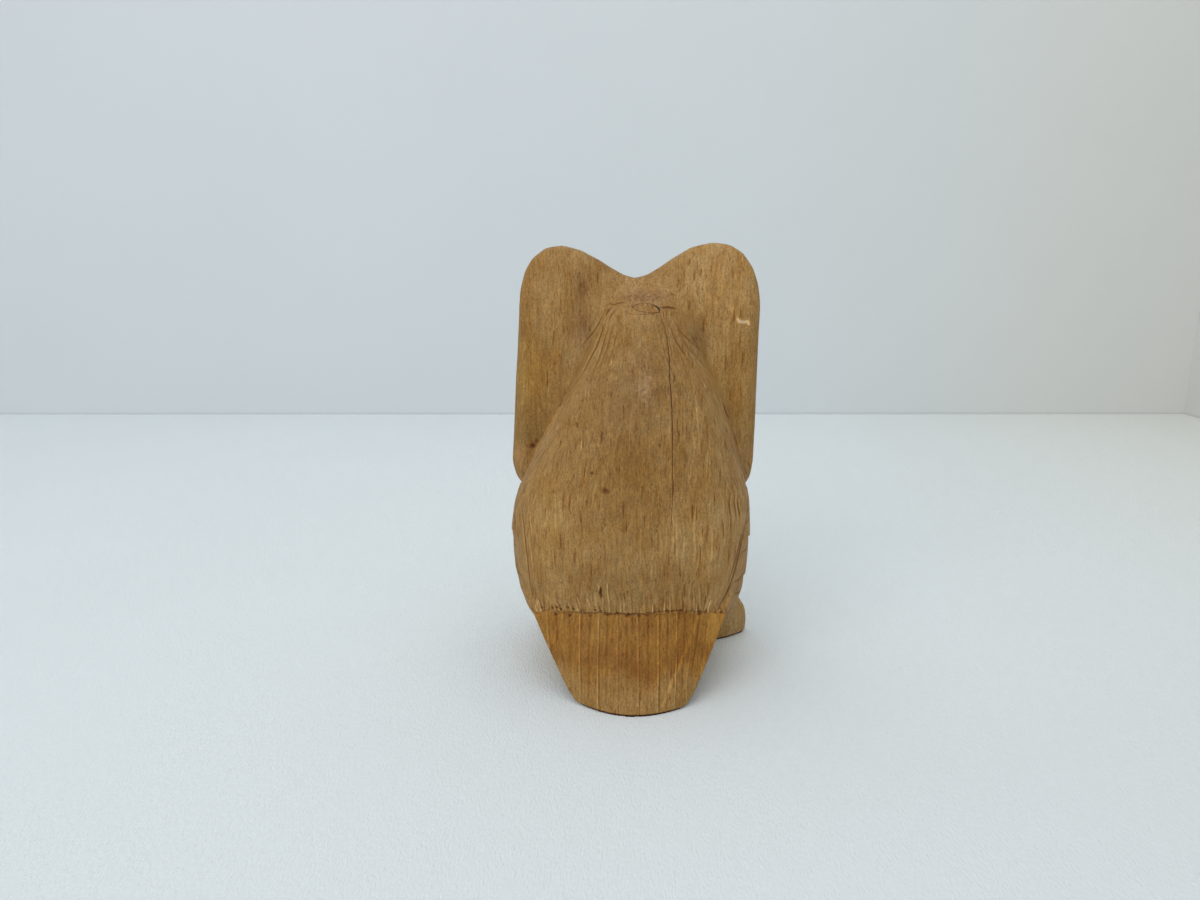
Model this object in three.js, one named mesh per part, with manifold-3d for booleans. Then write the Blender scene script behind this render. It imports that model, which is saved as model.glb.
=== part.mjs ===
// A wooden owl carved from one block, with inlaid eyes and a knot in its nape.
// Millimetres, +Z up. It faces -Y, its own left is +X, and it stands on Z = 0.
import * as THREE from "three";
import { mergeVertices } from "three/addons/utils/BufferGeometryUtils.js";
import Module from "manifold-3d";

const wasm = await Module();
wasm.setup();

// Head, as seen from behind. Drops are measured down from its top.
const TOP = 150; // height of the right ear tuft, the highest point
const LEFT_TUFT = { drop: 1.2, spread: 27, shoulder: 35.4, crown: 41.3, cheek: 45.1 };
const RIGHT_TUFT = { drop: 0, spread: 27, shoulder: 38.5, crown: 43.8, cheek: 43.3 };
const SADDLE_DROP = 12.3; // to the dip between the two ear tufts
const CROWN_DROP = 24; // to where the tufts end and the straight sides begin
const CHEEK_LINE = 71; // height where the straight sides end and the cheeks round in
const CHEEK_BOTTOM = 56;
const CHIN_HEIGHT = 64;

// Head, from front to back
const RIM_MIDDLE = -12; // Y of the middle of the head's rounded rim
const RIM_HALF_THICKNESS = 9;
const FACE_BULGE = 7.5; // how far the middle of the face stands forward of the rim
const CROWN_LEAN = 6; // how far the tufts' fronts lie back from the face

// Face
const EYE_SPREAD = 19.8; // centre plane to each eye
const EYE_DROP = 51; // from the top of the head
const EYE_TURN = 9; // degrees that each eye looks outwards
const DISC_RADIUS = 16.8; // hollowed facial disc round each eye
const DISC_DEPTH = 4.6;
const DISC_RIM_WIDTH = 5; // rounded ridge along the disc's edge
const DISC_RIM_HEIGHT = 1.3;
const BROW_LENGTH = 39; // ridge from the beak's root up to the tuft
const BROW_WIDTH = 13;
const BROW_HEIGHT = 3.2;
const BROW_LEAN = 34; // degrees from upright
const BEAK_RISE = 14; // from the eyes up to the beak's root
const BEAK_FALL = 19; // and down to its tip
const BEAK_HALF_WIDTH = 5.4;
const BEAK_REACH = -42.5; // Y of the beak's foremost line

// Eyes
const IRIS_RADIUS = 7.4;
const IRIS_THICKNESS = 3.4;
const IRIS_DOME = 1.5;
const IRIS_PROUD = 0.7; // how far the iris's rim stands out of its mound
const PUPIL_RADIUS = 3.4;
const PUPIL_THICKNESS = 2.6;
const PUPIL_DOME = 0.9;
const PUPIL_SEAT = 1.2; // wood left under the pupil
const MOUND_RADIUS = 11;
const MOUND_HEIGHT = 4.4; // mound that holds the iris, above the disc's floor
const GLUE_GAP = 0.3; // clearance round every piece that is let in

// Body, from the base up to the nape
const BODY_SHIFT = 0.5; // X of the body's middle, up to the haunches
const HAUNCH_HALF_WIDTH = 40.7;
const HAUNCH_HEIGHT = 49;
const NAPE_DROP = 22; // from the top of the head
const NAPE_HALF_WIDTH = 15.5;
const NAPE_SHIFT = -4; // X of the nape's middle, since the carver's midline drifts
const BASE_HALF_WIDTH = 29;
const BASE_REACH = 15; // Y of the back of the base
const BACK_REACH = 33.6; // Y of the fullest part of the back
const NAPE_REACH = 10;
const CHEST_REACH = -35; // Y of the fullest part of the chest
const BODY_ROUNDNESS = 2.35; // superellipse exponent of the body's cross-section
const NAPE_ROUNDNESS = 1.45; // and of the nape's, which slopes off to the flaps

// Carved layers on the body
const MANTLE_RELIEF = 1.5; // the back plumage stands this far out of the body
const MANTLE_HEM = 30; // height of its lower edge, where the tail begins
const MANTLE_HALF_WIDTH = 37.5;
const WING_FRONT = -22; // Y of the folded wing's front edge
const WING_REAR = 18.5; // Y of its rear edge
const WING_TIP_HEIGHT = 21;
const WING_RELIEF = 1; // the lowest row of wing feathers stands this far out of the body
const WING_STEP = 0.45; // and each row over it this much more
const WING_ROWS = 3;
const WING_FEATHERS = 5; // along the edge of each row
const FEATHER_SCALLOP = 3.2; // how far each feather's tip is drawn out

// Tail
const TAIL_ROOT_HALF_WIDTH = 35;
const TAIL_TIP_HALF_WIDTH = 18.6;
const TAIL_TIP_SHIFT = -1.8; // X of the middle of the tip
const TAIL_SIDE_BOW = 0.4; // how far its edges bow out
const TAIL_TIP_REACH = 46.4; // Y of the tail's tip on the ground
const TAIL_ROOT_REACH = 31.2; // Y of the tail's face under the mantle's hem
const TAIL_ROUNDNESS = 7; // how far the face's edges lie forward of its middle
const TAIL_ARCH_RADIUS = 13; // hollow between the tail's tip and the body's base
const TAIL_ARCH_HEIGHT = 7.5;
const TAIL_TIP_FOOT = 8; // length of the tail's tip that rests on the ground

// Feet
const FOOT_SPREAD = 28;
const FOOT_MIDDLE = -26; // Y
const FOOT_HALF_WIDTH = 16;
const FOOT_HALF_LENGTH = 11.8;
const FOOT_HEIGHT = 20;
const FOOT_ROUNDNESS = 1.4; // superellipse exponent of the foot seen from above
const FOOT_TURN = 10; // degrees that the toes point outwards
const LEFT_FOOT_TUCK = 6.5; // the left foot stands this much nearer the middle
const TOE_RADIUS = 5.4;
const TOE_REACH = -50; // Y of the middle toe's end
const TOE_FAN = 16; // degrees between neighbouring toes
const TOES = 3;

// Knot in the nape
const KNOT_OFFSET = -3.6; // X
const KNOT_HALF_WIDTH = 6.2;
const KNOT_HALF_HEIGHT = 2.6;
const KNOT_DEPTH = 12;
const KNOT_SLOPE = 40; // degrees above level that the knot points, backwards

const SADDLE_HEIGHT = TOP - SADDLE_DROP;
const CROWN_LINE = TOP - CROWN_DROP;
const NAPE_HEIGHT = TOP - NAPE_DROP;
const EYE_HEIGHT = TOP - EYE_DROP;
const BEAK_ROOT = EYE_HEIGHT + BEAK_RISE;
const BEAK_TIP = EYE_HEIGHT - BEAK_FALL;

const LEFT = 1;
const RIGHT = -1;
const degrees = THREE.MathUtils.degToRad;
const { clamp, lerp, smoothstep } = THREE.MathUtils;

// Closed geometry to solid, and back.
function solid(geometry) {
  const bare = new THREE.BufferGeometry();
  bare.setAttribute("position", geometry.getAttribute("position"));
  bare.setIndex(geometry.index);
  const merged = mergeVertices(bare, 1e-4);
  const mesh = new wasm.Mesh({
    numProp: 3,
    vertProperties: new Float32Array(merged.getAttribute("position").array),
    triVerts: new Uint32Array(merged.index.array),
  });
  return new wasm.Manifold(mesh);
}

function geometryOf(body) {
  const { vertProperties, triVerts } = body.getMesh();
  const geometry = new THREE.BufferGeometry();
  geometry.setAttribute("position", new THREE.Float32BufferAttribute(vertProperties, 3));
  geometry.setIndex(new THREE.BufferAttribute(new Uint32Array(triVerts), 1));
  geometry.computeVertexNormals();
  return geometry;
}

// Skin over rings of equal length, with the shorter diagonal in each cell and a fan at each end.
function skinRings(rings) {
  const count = rings[0].length;
  const ends = [rings[0], rings.at(-1)];
  const centres = ends.map((ring) =>
    ring.reduce((sum, p) => sum.add(p), new THREE.Vector3()).divideScalar(count),
  );
  const points = [...rings.flat(), ...centres];
  const index = [];
  const last = (rings.length - 1) * count;
  for (let j = 0; j < count; j++) {
    const next = (j + 1) % count;
    for (let start = 0; start < last; start += count) {
      const [a, b, c, d] = [start + j, start + next, start + next + count, start + j + count];
      const shortest = points[a].distanceTo(points[c]) < points[b].distanceTo(points[d]);
      index.push(...(shortest ? [a, b, c, a, c, d] : [a, b, d, b, c, d]));
    }
    index.push(last + count, next, j);
    index.push(last + count + 1, last + j, last + next);
  }
  const geometry = new THREE.BufferGeometry().setFromPoints(points);
  geometry.setIndex(index);
  return geometry;
}

// Smooth curve through one value of every station, without overshoot.
function through(stations, key) {
  const z = stations.map((s) => s.z);
  const v = stations.map((s) => s[key]);
  const slope = z.slice(1).map((end, i) => (v[i + 1] - v[i]) / (end - z[i]));
  const tangent = v.map((_, i) => {
    if (i === 0) return slope[0];
    if (i === slope.length) return slope[i - 1];
    const product = slope[i - 1] * slope[i];
    return product <= 0 ? 0 : (2 * product) / (slope[i - 1] + slope[i]);
  });
  return (height) => {
    const above = z.findIndex((level) => level > height);
    const i = above < 0 ? slope.length - 1 : Math.max(above - 1, 0);
    const span = z[i + 1] - z[i];
    const t = clamp((height - z[i]) / span, 0, 1);
    const fromEnds = v[i] * (1 + 2 * t) * (1 - t) ** 2 + v[i + 1] * t * t * (3 - 2 * t);
    return fromEnds + span * t * (1 - t) * (tangent[i] * (1 - t) - tangent[i + 1] * t);
  };
}

const steps = (low, high, count) =>
  Array.from({ length: count + 1 }, (_, i) => lerp(low, high, i / count));

// Loft of level superellipse sections, each with a half width, a back, a front and a roundness.
const station = (z, half, back, front, round = 2, middle = 0) => ({ z, half, back, front, round, middle });

function loft(stations, levels, segments) {
  const keys = ["half", "back", "front", "round", "middle"];
  const [half, back, front, round, middle] = keys.map((key) => through(stations, key));
  const rings = levels.map((z) =>
    Array.from({ length: segments }, (_, j) => {
      const angle = (2 * Math.PI * j) / segments;
      const power = (value) => Math.sign(value) * Math.abs(value) ** (2 / round(z));
      const x = middle(z) + half(z) * power(Math.cos(angle));
      return new THREE.Vector3(x, lerp(front(z), back(z), 0.5 + 0.5 * power(Math.sin(angle))), z);
    }),
  );
  return solid(skinRings(rings));
}

// Prism of a closed outline in X and Z, between two values of Y.
function prismAlongY(shape, from, to) {
  const options = { depth: to - from, bevelEnabled: false, curveSegments: 9 };
  const prism = new THREE.ExtrudeGeometry(shape, options);
  return solid(prism.rotateX(Math.PI / 2).translate(0, to, 0));
}

// Prism of a closed outline in Y and Z, between two values of X.
function prismAlongX(shape, from, to) {
  const options = { depth: to - from, bevelEnabled: false, curveSegments: 3 };
  const prism = new THREE.ExtrudeGeometry(shape, options);
  return solid(prism.rotateX(Math.PI / 2).rotateZ(Math.PI / 2).translate(from, 0, 0));
}

// Body: from the flat base out to the haunches, then in to the nape and over to the saddle.
const low = (share) => HAUNCH_HEIGHT * share;
const high = (share) => lerp(HAUNCH_HEIGHT, NAPE_HEIGHT, share);
const bodyLine = [
  [0, BASE_HALF_WIDTH, BASE_REACH, CHEST_REACH + 6],
  [low(0.3), HAUNCH_HALF_WIDTH * 0.84, lerp(BASE_REACH, BACK_REACH, 0.45), CHEST_REACH + 2.5],
  [low(0.62), HAUNCH_HALF_WIDTH * 0.975, BACK_REACH - 3, CHEST_REACH],
  [HAUNCH_HEIGHT, HAUNCH_HALF_WIDTH, BACK_REACH, CHEST_REACH + 1],
  [high(0.18), HAUNCH_HALF_WIDTH * 0.96, BACK_REACH - 0.8, CHEST_REACH + 6],
  [high(0.36), HAUNCH_HALF_WIDTH * 0.83, BACK_REACH - 4, CHEST_REACH + 12],
  [high(0.57), HAUNCH_HALF_WIDTH * 0.66, lerp(NAPE_REACH, BACK_REACH, 0.63), CHEST_REACH + 16],
  [high(0.8), HAUNCH_HALF_WIDTH * 0.49, lerp(NAPE_REACH, BACK_REACH, 0.32), CHEST_REACH + 17],
  [NAPE_HEIGHT, NAPE_HALF_WIDTH, NAPE_REACH, CHEST_REACH + 18],
  [SADDLE_HEIGHT, NAPE_HALF_WIDTH * 0.7, RIM_MIDDLE + 4, RIM_MIDDLE],
];
const bodyLevels = [...steps(0, NAPE_HEIGHT - 8, 16), ...steps(NAPE_HEIGHT - 5, SADDLE_HEIGHT - 1.2, 4)];

// A swell lays a carved layer on the body. It fades out towards the nape.
function bodyLoft(swell) {
  const stations = bodyLine.map(([z, half, back, front]) => {
    const round = lerp(BODY_ROUNDNESS, NAPE_ROUNDNESS, smoothstep(z, high(0.5), NAPE_HEIGHT));
    const middle = lerp(BODY_SHIFT, NAPE_SHIFT, smoothstep(z, HAUNCH_HEIGHT, high(0.8)));
    const grown = swell * (1 - smoothstep(z, high(0.6), NAPE_HEIGHT));
    return station(z, half + grown, back + grown, front - grown, round, middle);
  });
  return loft(stations, bodyLevels, 36);
}

// Head outline in X and Z: saddle, tufts, straight sides, cheeks and chin.
function headOutline() {
  const half = (tuft, side) => {
    const curve = new THREE.CurvePath();
    const at = (x, z) => new THREE.Vector2(side * x, z);
    const crown = [at(tuft.crown, CROWN_LINE + 14), at(tuft.crown, CROWN_LINE)];
    const height = TOP - tuft.drop;
    const peak = at(tuft.spread, height);
    const saddle = at(0, SADDLE_HEIGHT);
    const slope = [at(7, SADDLE_HEIGHT), at(tuft.spread - 11, height)];
    curve.add(new THREE.CubicBezierCurve(saddle, ...slope, peak));
    curve.add(new THREE.CubicBezierCurve(peak, at(tuft.shoulder, height), ...crown));
    curve.add(new THREE.LineCurve(crown[1], at(tuft.cheek, CHEEK_LINE)));
    const jowl = [at(tuft.cheek, CHEEK_LINE - 8), at(tuft.cheek - 7, CHEEK_BOTTOM), at(26, CHEEK_BOTTOM)];
    curve.add(new THREE.CubicBezierCurve(at(tuft.cheek, CHEEK_LINE), ...jowl));
    const chin = [at(14, CHEEK_BOTTOM), at(9, CHIN_HEIGHT), at(0, CHIN_HEIGHT)];
    curve.add(new THREE.CubicBezierCurve(jowl[2], ...chin));
    return curve.getSpacedPoints(260);
  };
  return [...half(LEFT_TUFT, LEFT), ...half(RIGHT_TUFT, RIGHT)];
}

// Front of the head: it sweeps back to its sides and up to its tufts.
function faceFront(x, z) {
  const sweep = FACE_BULGE * (1 - (x / LEFT_TUFT.cheek) ** 2);
  const lean = CROWN_LEAN * smoothstep(z, EYE_HEIGHT, TOP);
  return RIM_MIDDLE - RIM_HALF_THICKNESS - sweep + lean;
}

// Head: spokes from the middle to the outline. Flat flaps behind and the face in front meet at the rim.
const HEAD_SPOKES = 64;
const HEAD_SHARES = [0.06, 0.24, 0.4, 0.54, 0.67, 0.79, 0.88, 0.945, 0.985];

function head() {
  const centre = new THREE.Vector2(0, (CHEEK_BOTTOM + SADDLE_HEIGHT) / 2 + 4);
  const border = headOutline().map((p) => p.sub(centre));
  const towards = (angle) => {
    const spoke = new THREE.Vector2(Math.cos(angle), Math.sin(angle));
    const alignment = (p) => p.dot(spoke) / p.length();
    return border.reduce((best, p) => (alignment(p) > alignment(best) ? p : best));
  };
  const spokes = Array.from({ length: HEAD_SPOKES }, (_, j) => towards((2 * Math.PI * j) / HEAD_SPOKES));
  const ringAt = (share, surface) =>
    spokes.map((p) => {
      const x = centre.x + p.x * share;
      const z = centre.y + p.y * share;
      const rim = RIM_MIDDLE + (CROWN_LEAN / 2) * smoothstep(z, EYE_HEIGHT, TOP);
      const fullness = Math.sqrt(1 - share ** 7); // rounds the rim and leaves the middle as it is
      return new THREE.Vector3(x, lerp(rim, surface(x, z), fullness), z);
    });
  const backRings = HEAD_SHARES.map((share) => ringAt(share, () => RIM_MIDDLE + RIM_HALF_THICKNESS));
  const frontRings = HEAD_SHARES.toReversed().map((share) => ringAt(share, faceFront));
  return solid(skinRings([...backRings, ringAt(1, faceFront), ...frontRings]));
}

// Beak: level sections that swell and then narrow to a hooked tip.
function beak() {
  const inside = RIM_MIDDLE - RIM_HALF_THICKNESS;
  const drop = (share) => lerp(BEAK_TIP, BEAK_ROOT, share);
  const reach = (share) => lerp(BEAK_REACH, inside, share);
  const stations = [
    station(BEAK_TIP, 0.6, reach(0.12), reach(0.02)),
    station(drop(0.1), BEAK_HALF_WIDTH * 0.4, reach(0.35), BEAK_REACH),
    station(drop(0.24), BEAK_HALF_WIDTH * 0.72, reach(0.9), BEAK_REACH),
    station(drop(0.42), BEAK_HALF_WIDTH * 0.95, inside, reach(0.07)),
    station(drop(0.65), BEAK_HALF_WIDTH, inside, reach(0.26)),
    station(drop(0.88), BEAK_HALF_WIDTH * 0.8, inside, reach(0.5)),
    station(BEAK_ROOT + 3, BEAK_HALF_WIDTH * 0.4, inside, reach(0.72)),
  ];
  return loft(stations, steps(BEAK_TIP, BEAK_ROOT + 3, 10), 16);
}

// Back plumage: the body swollen a little, from the nape down to a hem over the tail.
function mantle() {
  const shoulder = HAUNCH_HEIGHT + 19; // over the wing's top, where the cheeks begin
  const edge = (side, rise) => [
    [TAIL_ROOT_HALF_WIDTH, MANTLE_HEM + rise],
    [MANTLE_HALF_WIDTH - 0.5, lerp(MANTLE_HEM, HAUNCH_HEIGHT, 0.6)],
    [MANTLE_HALF_WIDTH, HAUNCH_HEIGHT + 8],
    [MANTLE_HALF_WIDTH + 1, shoulder - 4],
    [HAUNCH_HALF_WIDTH + 8, shoulder],
  ].map(([x, z]) => [BODY_SHIFT + side * x, z]);
  const left = edge(LEFT, -4);
  const right = edge(RIGHT, -3);
  const outline = new THREE.Shape();
  outline.moveTo(...right[0]);
  outline.quadraticCurveTo(BODY_SHIFT, MANTLE_HEM + 3, ...left[0]);
  outline.quadraticCurveTo(...left[1], ...left[2]);
  outline.quadraticCurveTo(...left[3], ...left[4]);
  outline.lineTo(left[4][0], SADDLE_HEIGHT);
  outline.lineTo(right[4][0], SADDLE_HEIGHT);
  outline.lineTo(...right[4]);
  outline.quadraticCurveTo(...right[3], ...right[2]);
  outline.quadraticCurveTo(...right[1], ...right[0]);
  return bodyLoft(MANTLE_RELIEF).intersect(prismAlongY(outline, RIM_MIDDLE + 4, BACK_REACH + 10));
}

// Wing: rows of feathers with scalloped edges, each row lower and longer than the one over it.
function wing(side) {
  const top = HAUNCH_HEIGHT + 17;
  const prismEnds = side === LEFT ? [15, 70] : [-70, -15];
  const rows = Array.from({ length: WING_ROWS }, (_, row) => {
    const share = (row + 1) / WING_ROWS;
    const rear = new THREE.Vector2(WING_REAR, lerp(top, WING_TIP_HEIGHT, share));
    const front = new THREE.Vector2(WING_FRONT, lerp(top, HAUNCH_HEIGHT - 4, share));
    const corner = new THREE.Vector2(WING_FRONT * 0.6, lerp(top, WING_TIP_HEIGHT - 1, share));
    const edge = new THREE.QuadraticBezierCurve(front, corner, rear);
    const outline = new THREE.Shape();
    outline.moveTo(WING_REAR, top);
    outline.lineTo(WING_FRONT + 7, top);
    outline.lineTo(front.x, front.y);
    for (let feather = 1; feather <= WING_FEATHERS; feather++) {
      const middle = (feather - 0.5) / WING_FEATHERS;
      const outwards = edge.getTangentAt(middle).rotateAround(new THREE.Vector2(), -Math.PI / 2);
      const tip = edge.getPointAt(middle).addScaledVector(outwards, FEATHER_SCALLOP);
      outline.quadraticCurveTo(tip.x, tip.y, ...edge.getPointAt(feather / WING_FEATHERS));
    }
    const swell = WING_RELIEF + WING_STEP * (WING_ROWS - 1 - row);
    return bodyLoft(swell).intersect(prismAlongX(outline, ...prismEnds));
  });
  return rows.reduce((all, row) => all.add(row));
}

// Tail: a rounded fan that widens up to the hem, with a hollow behind the body's base.
function tail() {
  const rings = [0, 0.05, 0.15, 0.4, 0.65, 0.9, 1.15].map((share) => {
    const z = MANTLE_HEM * share;
    const corner = 1 - 0.1 * Math.max(0, 1 - share / 0.13) ** 2; // the tip's corners are rounded off
    const bow = 4 * TAIL_SIDE_BOW * share * (1 - share);
    const half = (lerp(TAIL_TIP_HALF_WIDTH, TAIL_ROOT_HALF_WIDTH, share) + bow) * corner;
    const shift = lerp(TAIL_TIP_SHIFT, BODY_SHIFT, share);
    const middle = lerp(TAIL_TIP_REACH, TAIL_ROOT_REACH, share);
    const roundness = TAIL_ROUNDNESS * lerp(1, 1.5, share);
    const face = steps(1, -1, 10).map(
      (across) => new THREE.Vector3(shift + half * across, middle - roundness * across ** 2, z),
    );
    return [...face, new THREE.Vector3(shift + 4 - half, 0, z), new THREE.Vector3(shift + half - 4, 0, z)];
  });
  const arch = new THREE.CylinderGeometry(TAIL_ARCH_RADIUS, TAIL_ARCH_RADIUS, 120, 32).rotateZ(Math.PI / 2);
  const archFront = TAIL_TIP_REACH - TAIL_TIP_FOOT - TAIL_ARCH_RADIUS;
  arch.translate(0, archFront, TAIL_ARCH_HEIGHT - TAIL_ARCH_RADIUS);
  return solid(skinRings(rings)).subtract(solid(arch));
}

// Foot: a pad with upright sides and a rounded top under the body, and toes fanned out in front.
const padLine = [
  [0, 0.98],
  [0.25, 1],
  [0.45, 0.97],
  [0.64, 0.87],
  [0.8, 0.68],
  [0.93, 0.4],
  [1, 0.08],
];

function foot(side) {
  const spread = FOOT_SPREAD - (side === LEFT ? LEFT_FOOT_TUCK : 0);
  const padStations = padLine.map(([rise, size]) => {
    const reach = FOOT_HALF_LENGTH * size;
    return station(FOOT_HEIGHT * rise, FOOT_HALF_WIDTH * size, reach, -reach, FOOT_ROUNDNESS);
  });
  const length = FOOT_MIDDLE - TOE_REACH - TOE_RADIUS;
  let all = loft(padStations, steps(0, FOOT_HEIGHT, 9), 20);
  for (let i = 0; i < TOES; i++) {
    const turn = i - (TOES - 1) / 2;
    const toe = new THREE.CapsuleGeometry(TOE_RADIUS, length, 3, 10);
    toe.translate(0, Math.abs(turn) - length / 2, TOE_RADIUS * 0.5).scale(1, 1, 0.95);
    all = all.add(solid(toe.rotateZ(degrees(TOE_FAN * turn + side * FOOT_TURN))));
  }
  return all.translate([side * spread, FOOT_MIDDLE, 0]);
}

// Turned shape about +Y from a half profile of [radius, height] pairs.
function turned(profile, segments = 26) {
  return new THREE.LatheGeometry(profile.map(([r, h]) => new THREE.Vector2(r, h)), segments);
}

// Profile points of a shallow dome or hollow, from one radius to another.
function dome(rimRadius, rimHeight, rise, from, to, count) {
  return steps(from, to, count).map((r) => [r, rimHeight + rise * (1 - (r / rimRadius) ** 2)]);
}

// Each eye has its own frame on the face, with +Y out of the wood.
function eyeFrame(side) {
  const frame = new THREE.Object3D();
  frame.position.set(side * EYE_SPREAD, faceFront(EYE_SPREAD, EYE_HEIGHT), EYE_HEIGHT);
  frame.rotation.z = Math.PI + side * degrees(EYE_TURN);
  frame.updateMatrix();
  return frame;
}

const mountHeight = MOUND_HEIGHT - DISC_DEPTH;
const socketFloor = mountHeight + IRIS_PROUD - IRIS_THICKNESS - GLUE_GAP;
const socketRadius = IRIS_RADIUS + GLUE_GAP;
const discOuter = DISC_RADIUS * 1.2;

const dish = turned([
  ...dome(DISC_RADIUS, 0, -DISC_DEPTH, 0, discOuter, 4),
  [discOuter, 12],
  [0, 12],
]);
const discRim = turned([
  [DISC_RADIUS - 2, -DISC_DEPTH - 3],
  [DISC_RADIUS + DISC_RIM_WIDTH + 1, -DISC_DEPTH - 3],
  [DISC_RADIUS + DISC_RIM_WIDTH, -DISC_RIM_HEIGHT],
  [DISC_RADIUS + DISC_RIM_WIDTH * 0.7, DISC_RIM_HEIGHT * 0.4],
  [DISC_RADIUS + DISC_RIM_WIDTH * 0.3, DISC_RIM_HEIGHT],
  [DISC_RADIUS - 2, DISC_RIM_HEIGHT],
  [DISC_RADIUS - 2, -DISC_DEPTH - 3],
]);
const mound = turned([
  [0, -DISC_DEPTH - 4],
  [MOUND_RADIUS, -DISC_DEPTH - 4],
  ...dome(MOUND_RADIUS, mountHeight - 2.2, 3.4, MOUND_RADIUS, socketRadius - 0.5, 3),
  [0, mountHeight],
]);
const socket = turned([
  [0, socketFloor],
  [socketRadius, socketFloor],
  [socketRadius, 12],
  [0, 12],
]);
const iris = turned([
  [0, 0],
  [IRIS_RADIUS, 0],
  ...dome(IRIS_RADIUS, IRIS_THICKNESS, IRIS_DOME, IRIS_RADIUS, PUPIL_RADIUS + GLUE_GAP, 3),
  [PUPIL_RADIUS + GLUE_GAP, PUPIL_SEAT],
  [0, PUPIL_SEAT],
]);
const pupil = turned(
  [[0, 0], [PUPIL_RADIUS, 0], ...dome(PUPIL_RADIUS, PUPIL_THICKNESS, PUPIL_DOME, PUPIL_RADIUS, 0, 3)],
  20,
);

// Brow: a long low ridge that leans from the beak's root out to the tuft, along the face.
function brow(side) {
  const lean = degrees(BROW_LEAN);
  const x = 3 + (BROW_LENGTH / 2) * Math.sin(lean);
  const z = BEAK_ROOT - 4 + (BROW_LENGTH / 2) * Math.cos(lean);
  const fall = Math.atan2(faceFront(x, z + 1) - faceFront(x, z), 1);
  const ridge = new THREE.SphereGeometry(1, 12, 14);
  ridge.scale(BROW_WIDTH / 2, BROW_HEIGHT + 1, BROW_LENGTH / 2).rotateY(side * lean).rotateX(-fall);
  return solid(ridge.translate(side * x, faceFront(x, z) + 1, z));
}

// The block: every carved mass joined, then hollowed for what is let into it.
let block = bodyLoft(0).add(mantle()).add(tail()).add(wing(LEFT)).add(wing(RIGHT));
block = block.add(foot(LEFT)).add(foot(RIGHT));
let face = head();
for (const side of [LEFT, RIGHT]) {
  const place = (geometry) => solid(geometry.clone().applyMatrix4(eyeFrame(side).matrix));
  face = face.add(brow(side)).add(place(discRim));
  face = face.subtract(place(dish)).add(place(mound)).subtract(place(socket));
}
const aboveGround = solid(new THREE.BoxGeometry(400, 400, 400).translate(0, 0, 200));
block = block.add(face).add(beak()).intersect(aboveGround);

// Knot: an oval plug of branch wood that has dried loose round its rim.
function knotPlug(clearance) {
  const OUTSIDE = 12; // reaches past the wood's surface
  const plug = new THREE.CylinderGeometry(1, 0.75, KNOT_DEPTH + OUTSIDE + clearance, 24);
  plug.scale(KNOT_HALF_WIDTH + clearance, 1, KNOT_HALF_HEIGHT + clearance);
  plug.translate(0, (OUTSIDE - KNOT_DEPTH - clearance) / 2, 0).rotateX(degrees(KNOT_SLOPE));
  return solid(plug.translate(KNOT_OFFSET, NAPE_REACH, NAPE_HEIGHT + 1.5));
}
const knot = block.intersect(knotPlug(0));
block = block.subtract(knotPlug(GLUE_GAP));

const wood = new THREE.MeshStandardMaterial({ color: 0x93703f, roughness: 0.72, metalness: 0 });
const knotWood = new THREE.MeshStandardMaterial({ color: 0x8a6742, roughness: 0.78, metalness: 0 });
const paleWood = new THREE.MeshStandardMaterial({ color: 0xd2b184, roughness: 0.5, metalness: 0 });
const darkWood = new THREE.MeshStandardMaterial({ color: 0x21160f, roughness: 0.25, metalness: 0 });

function named(name, geometry, material) {
  const mesh = new THREE.Mesh(geometry, material);
  mesh.name = name;
  return mesh;
}

const owl = new THREE.Group();
owl.add(named("carved_block", geometryOf(block), wood));
owl.add(named("nape_knot", geometryOf(knot), knotWood));
for (const side of [LEFT, RIGHT]) {
  const eye = eyeFrame(side);
  const label = side === LEFT ? "left" : "right";
  const irisMesh = named(`${label}_iris`, iris, paleWood);
  irisMesh.position.y = socketFloor + GLUE_GAP;
  const pupilMesh = named(`${label}_pupil`, pupil, darkWood);
  pupilMesh.position.y = irisMesh.position.y + PUPIL_SEAT + GLUE_GAP;
  eye.add(irisMesh, pupilMesh);
  owl.add(eye);
}

export default owl;
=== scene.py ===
import math

import bmesh
import bpy
import numpy as np
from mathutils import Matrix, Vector
from mathutils.kdtree import KDTree


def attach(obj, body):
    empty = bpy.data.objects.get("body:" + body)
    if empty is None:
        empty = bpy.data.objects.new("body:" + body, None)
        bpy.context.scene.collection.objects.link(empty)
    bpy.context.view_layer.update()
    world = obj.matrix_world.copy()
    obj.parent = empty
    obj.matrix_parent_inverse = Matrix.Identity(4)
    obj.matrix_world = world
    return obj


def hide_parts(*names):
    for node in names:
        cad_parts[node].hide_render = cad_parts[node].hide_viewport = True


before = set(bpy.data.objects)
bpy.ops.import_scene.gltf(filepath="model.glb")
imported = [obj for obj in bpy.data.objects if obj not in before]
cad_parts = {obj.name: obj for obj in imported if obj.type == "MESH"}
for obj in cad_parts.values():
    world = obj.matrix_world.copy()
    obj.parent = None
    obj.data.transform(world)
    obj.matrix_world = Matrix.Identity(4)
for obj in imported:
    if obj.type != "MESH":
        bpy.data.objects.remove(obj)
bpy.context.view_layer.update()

# Lengths are millimetres in the row frame until a mesh is written, and angles are degrees.
# The owl faces -Y, its left is +X. "Back" is the side that the camera sees.

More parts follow.
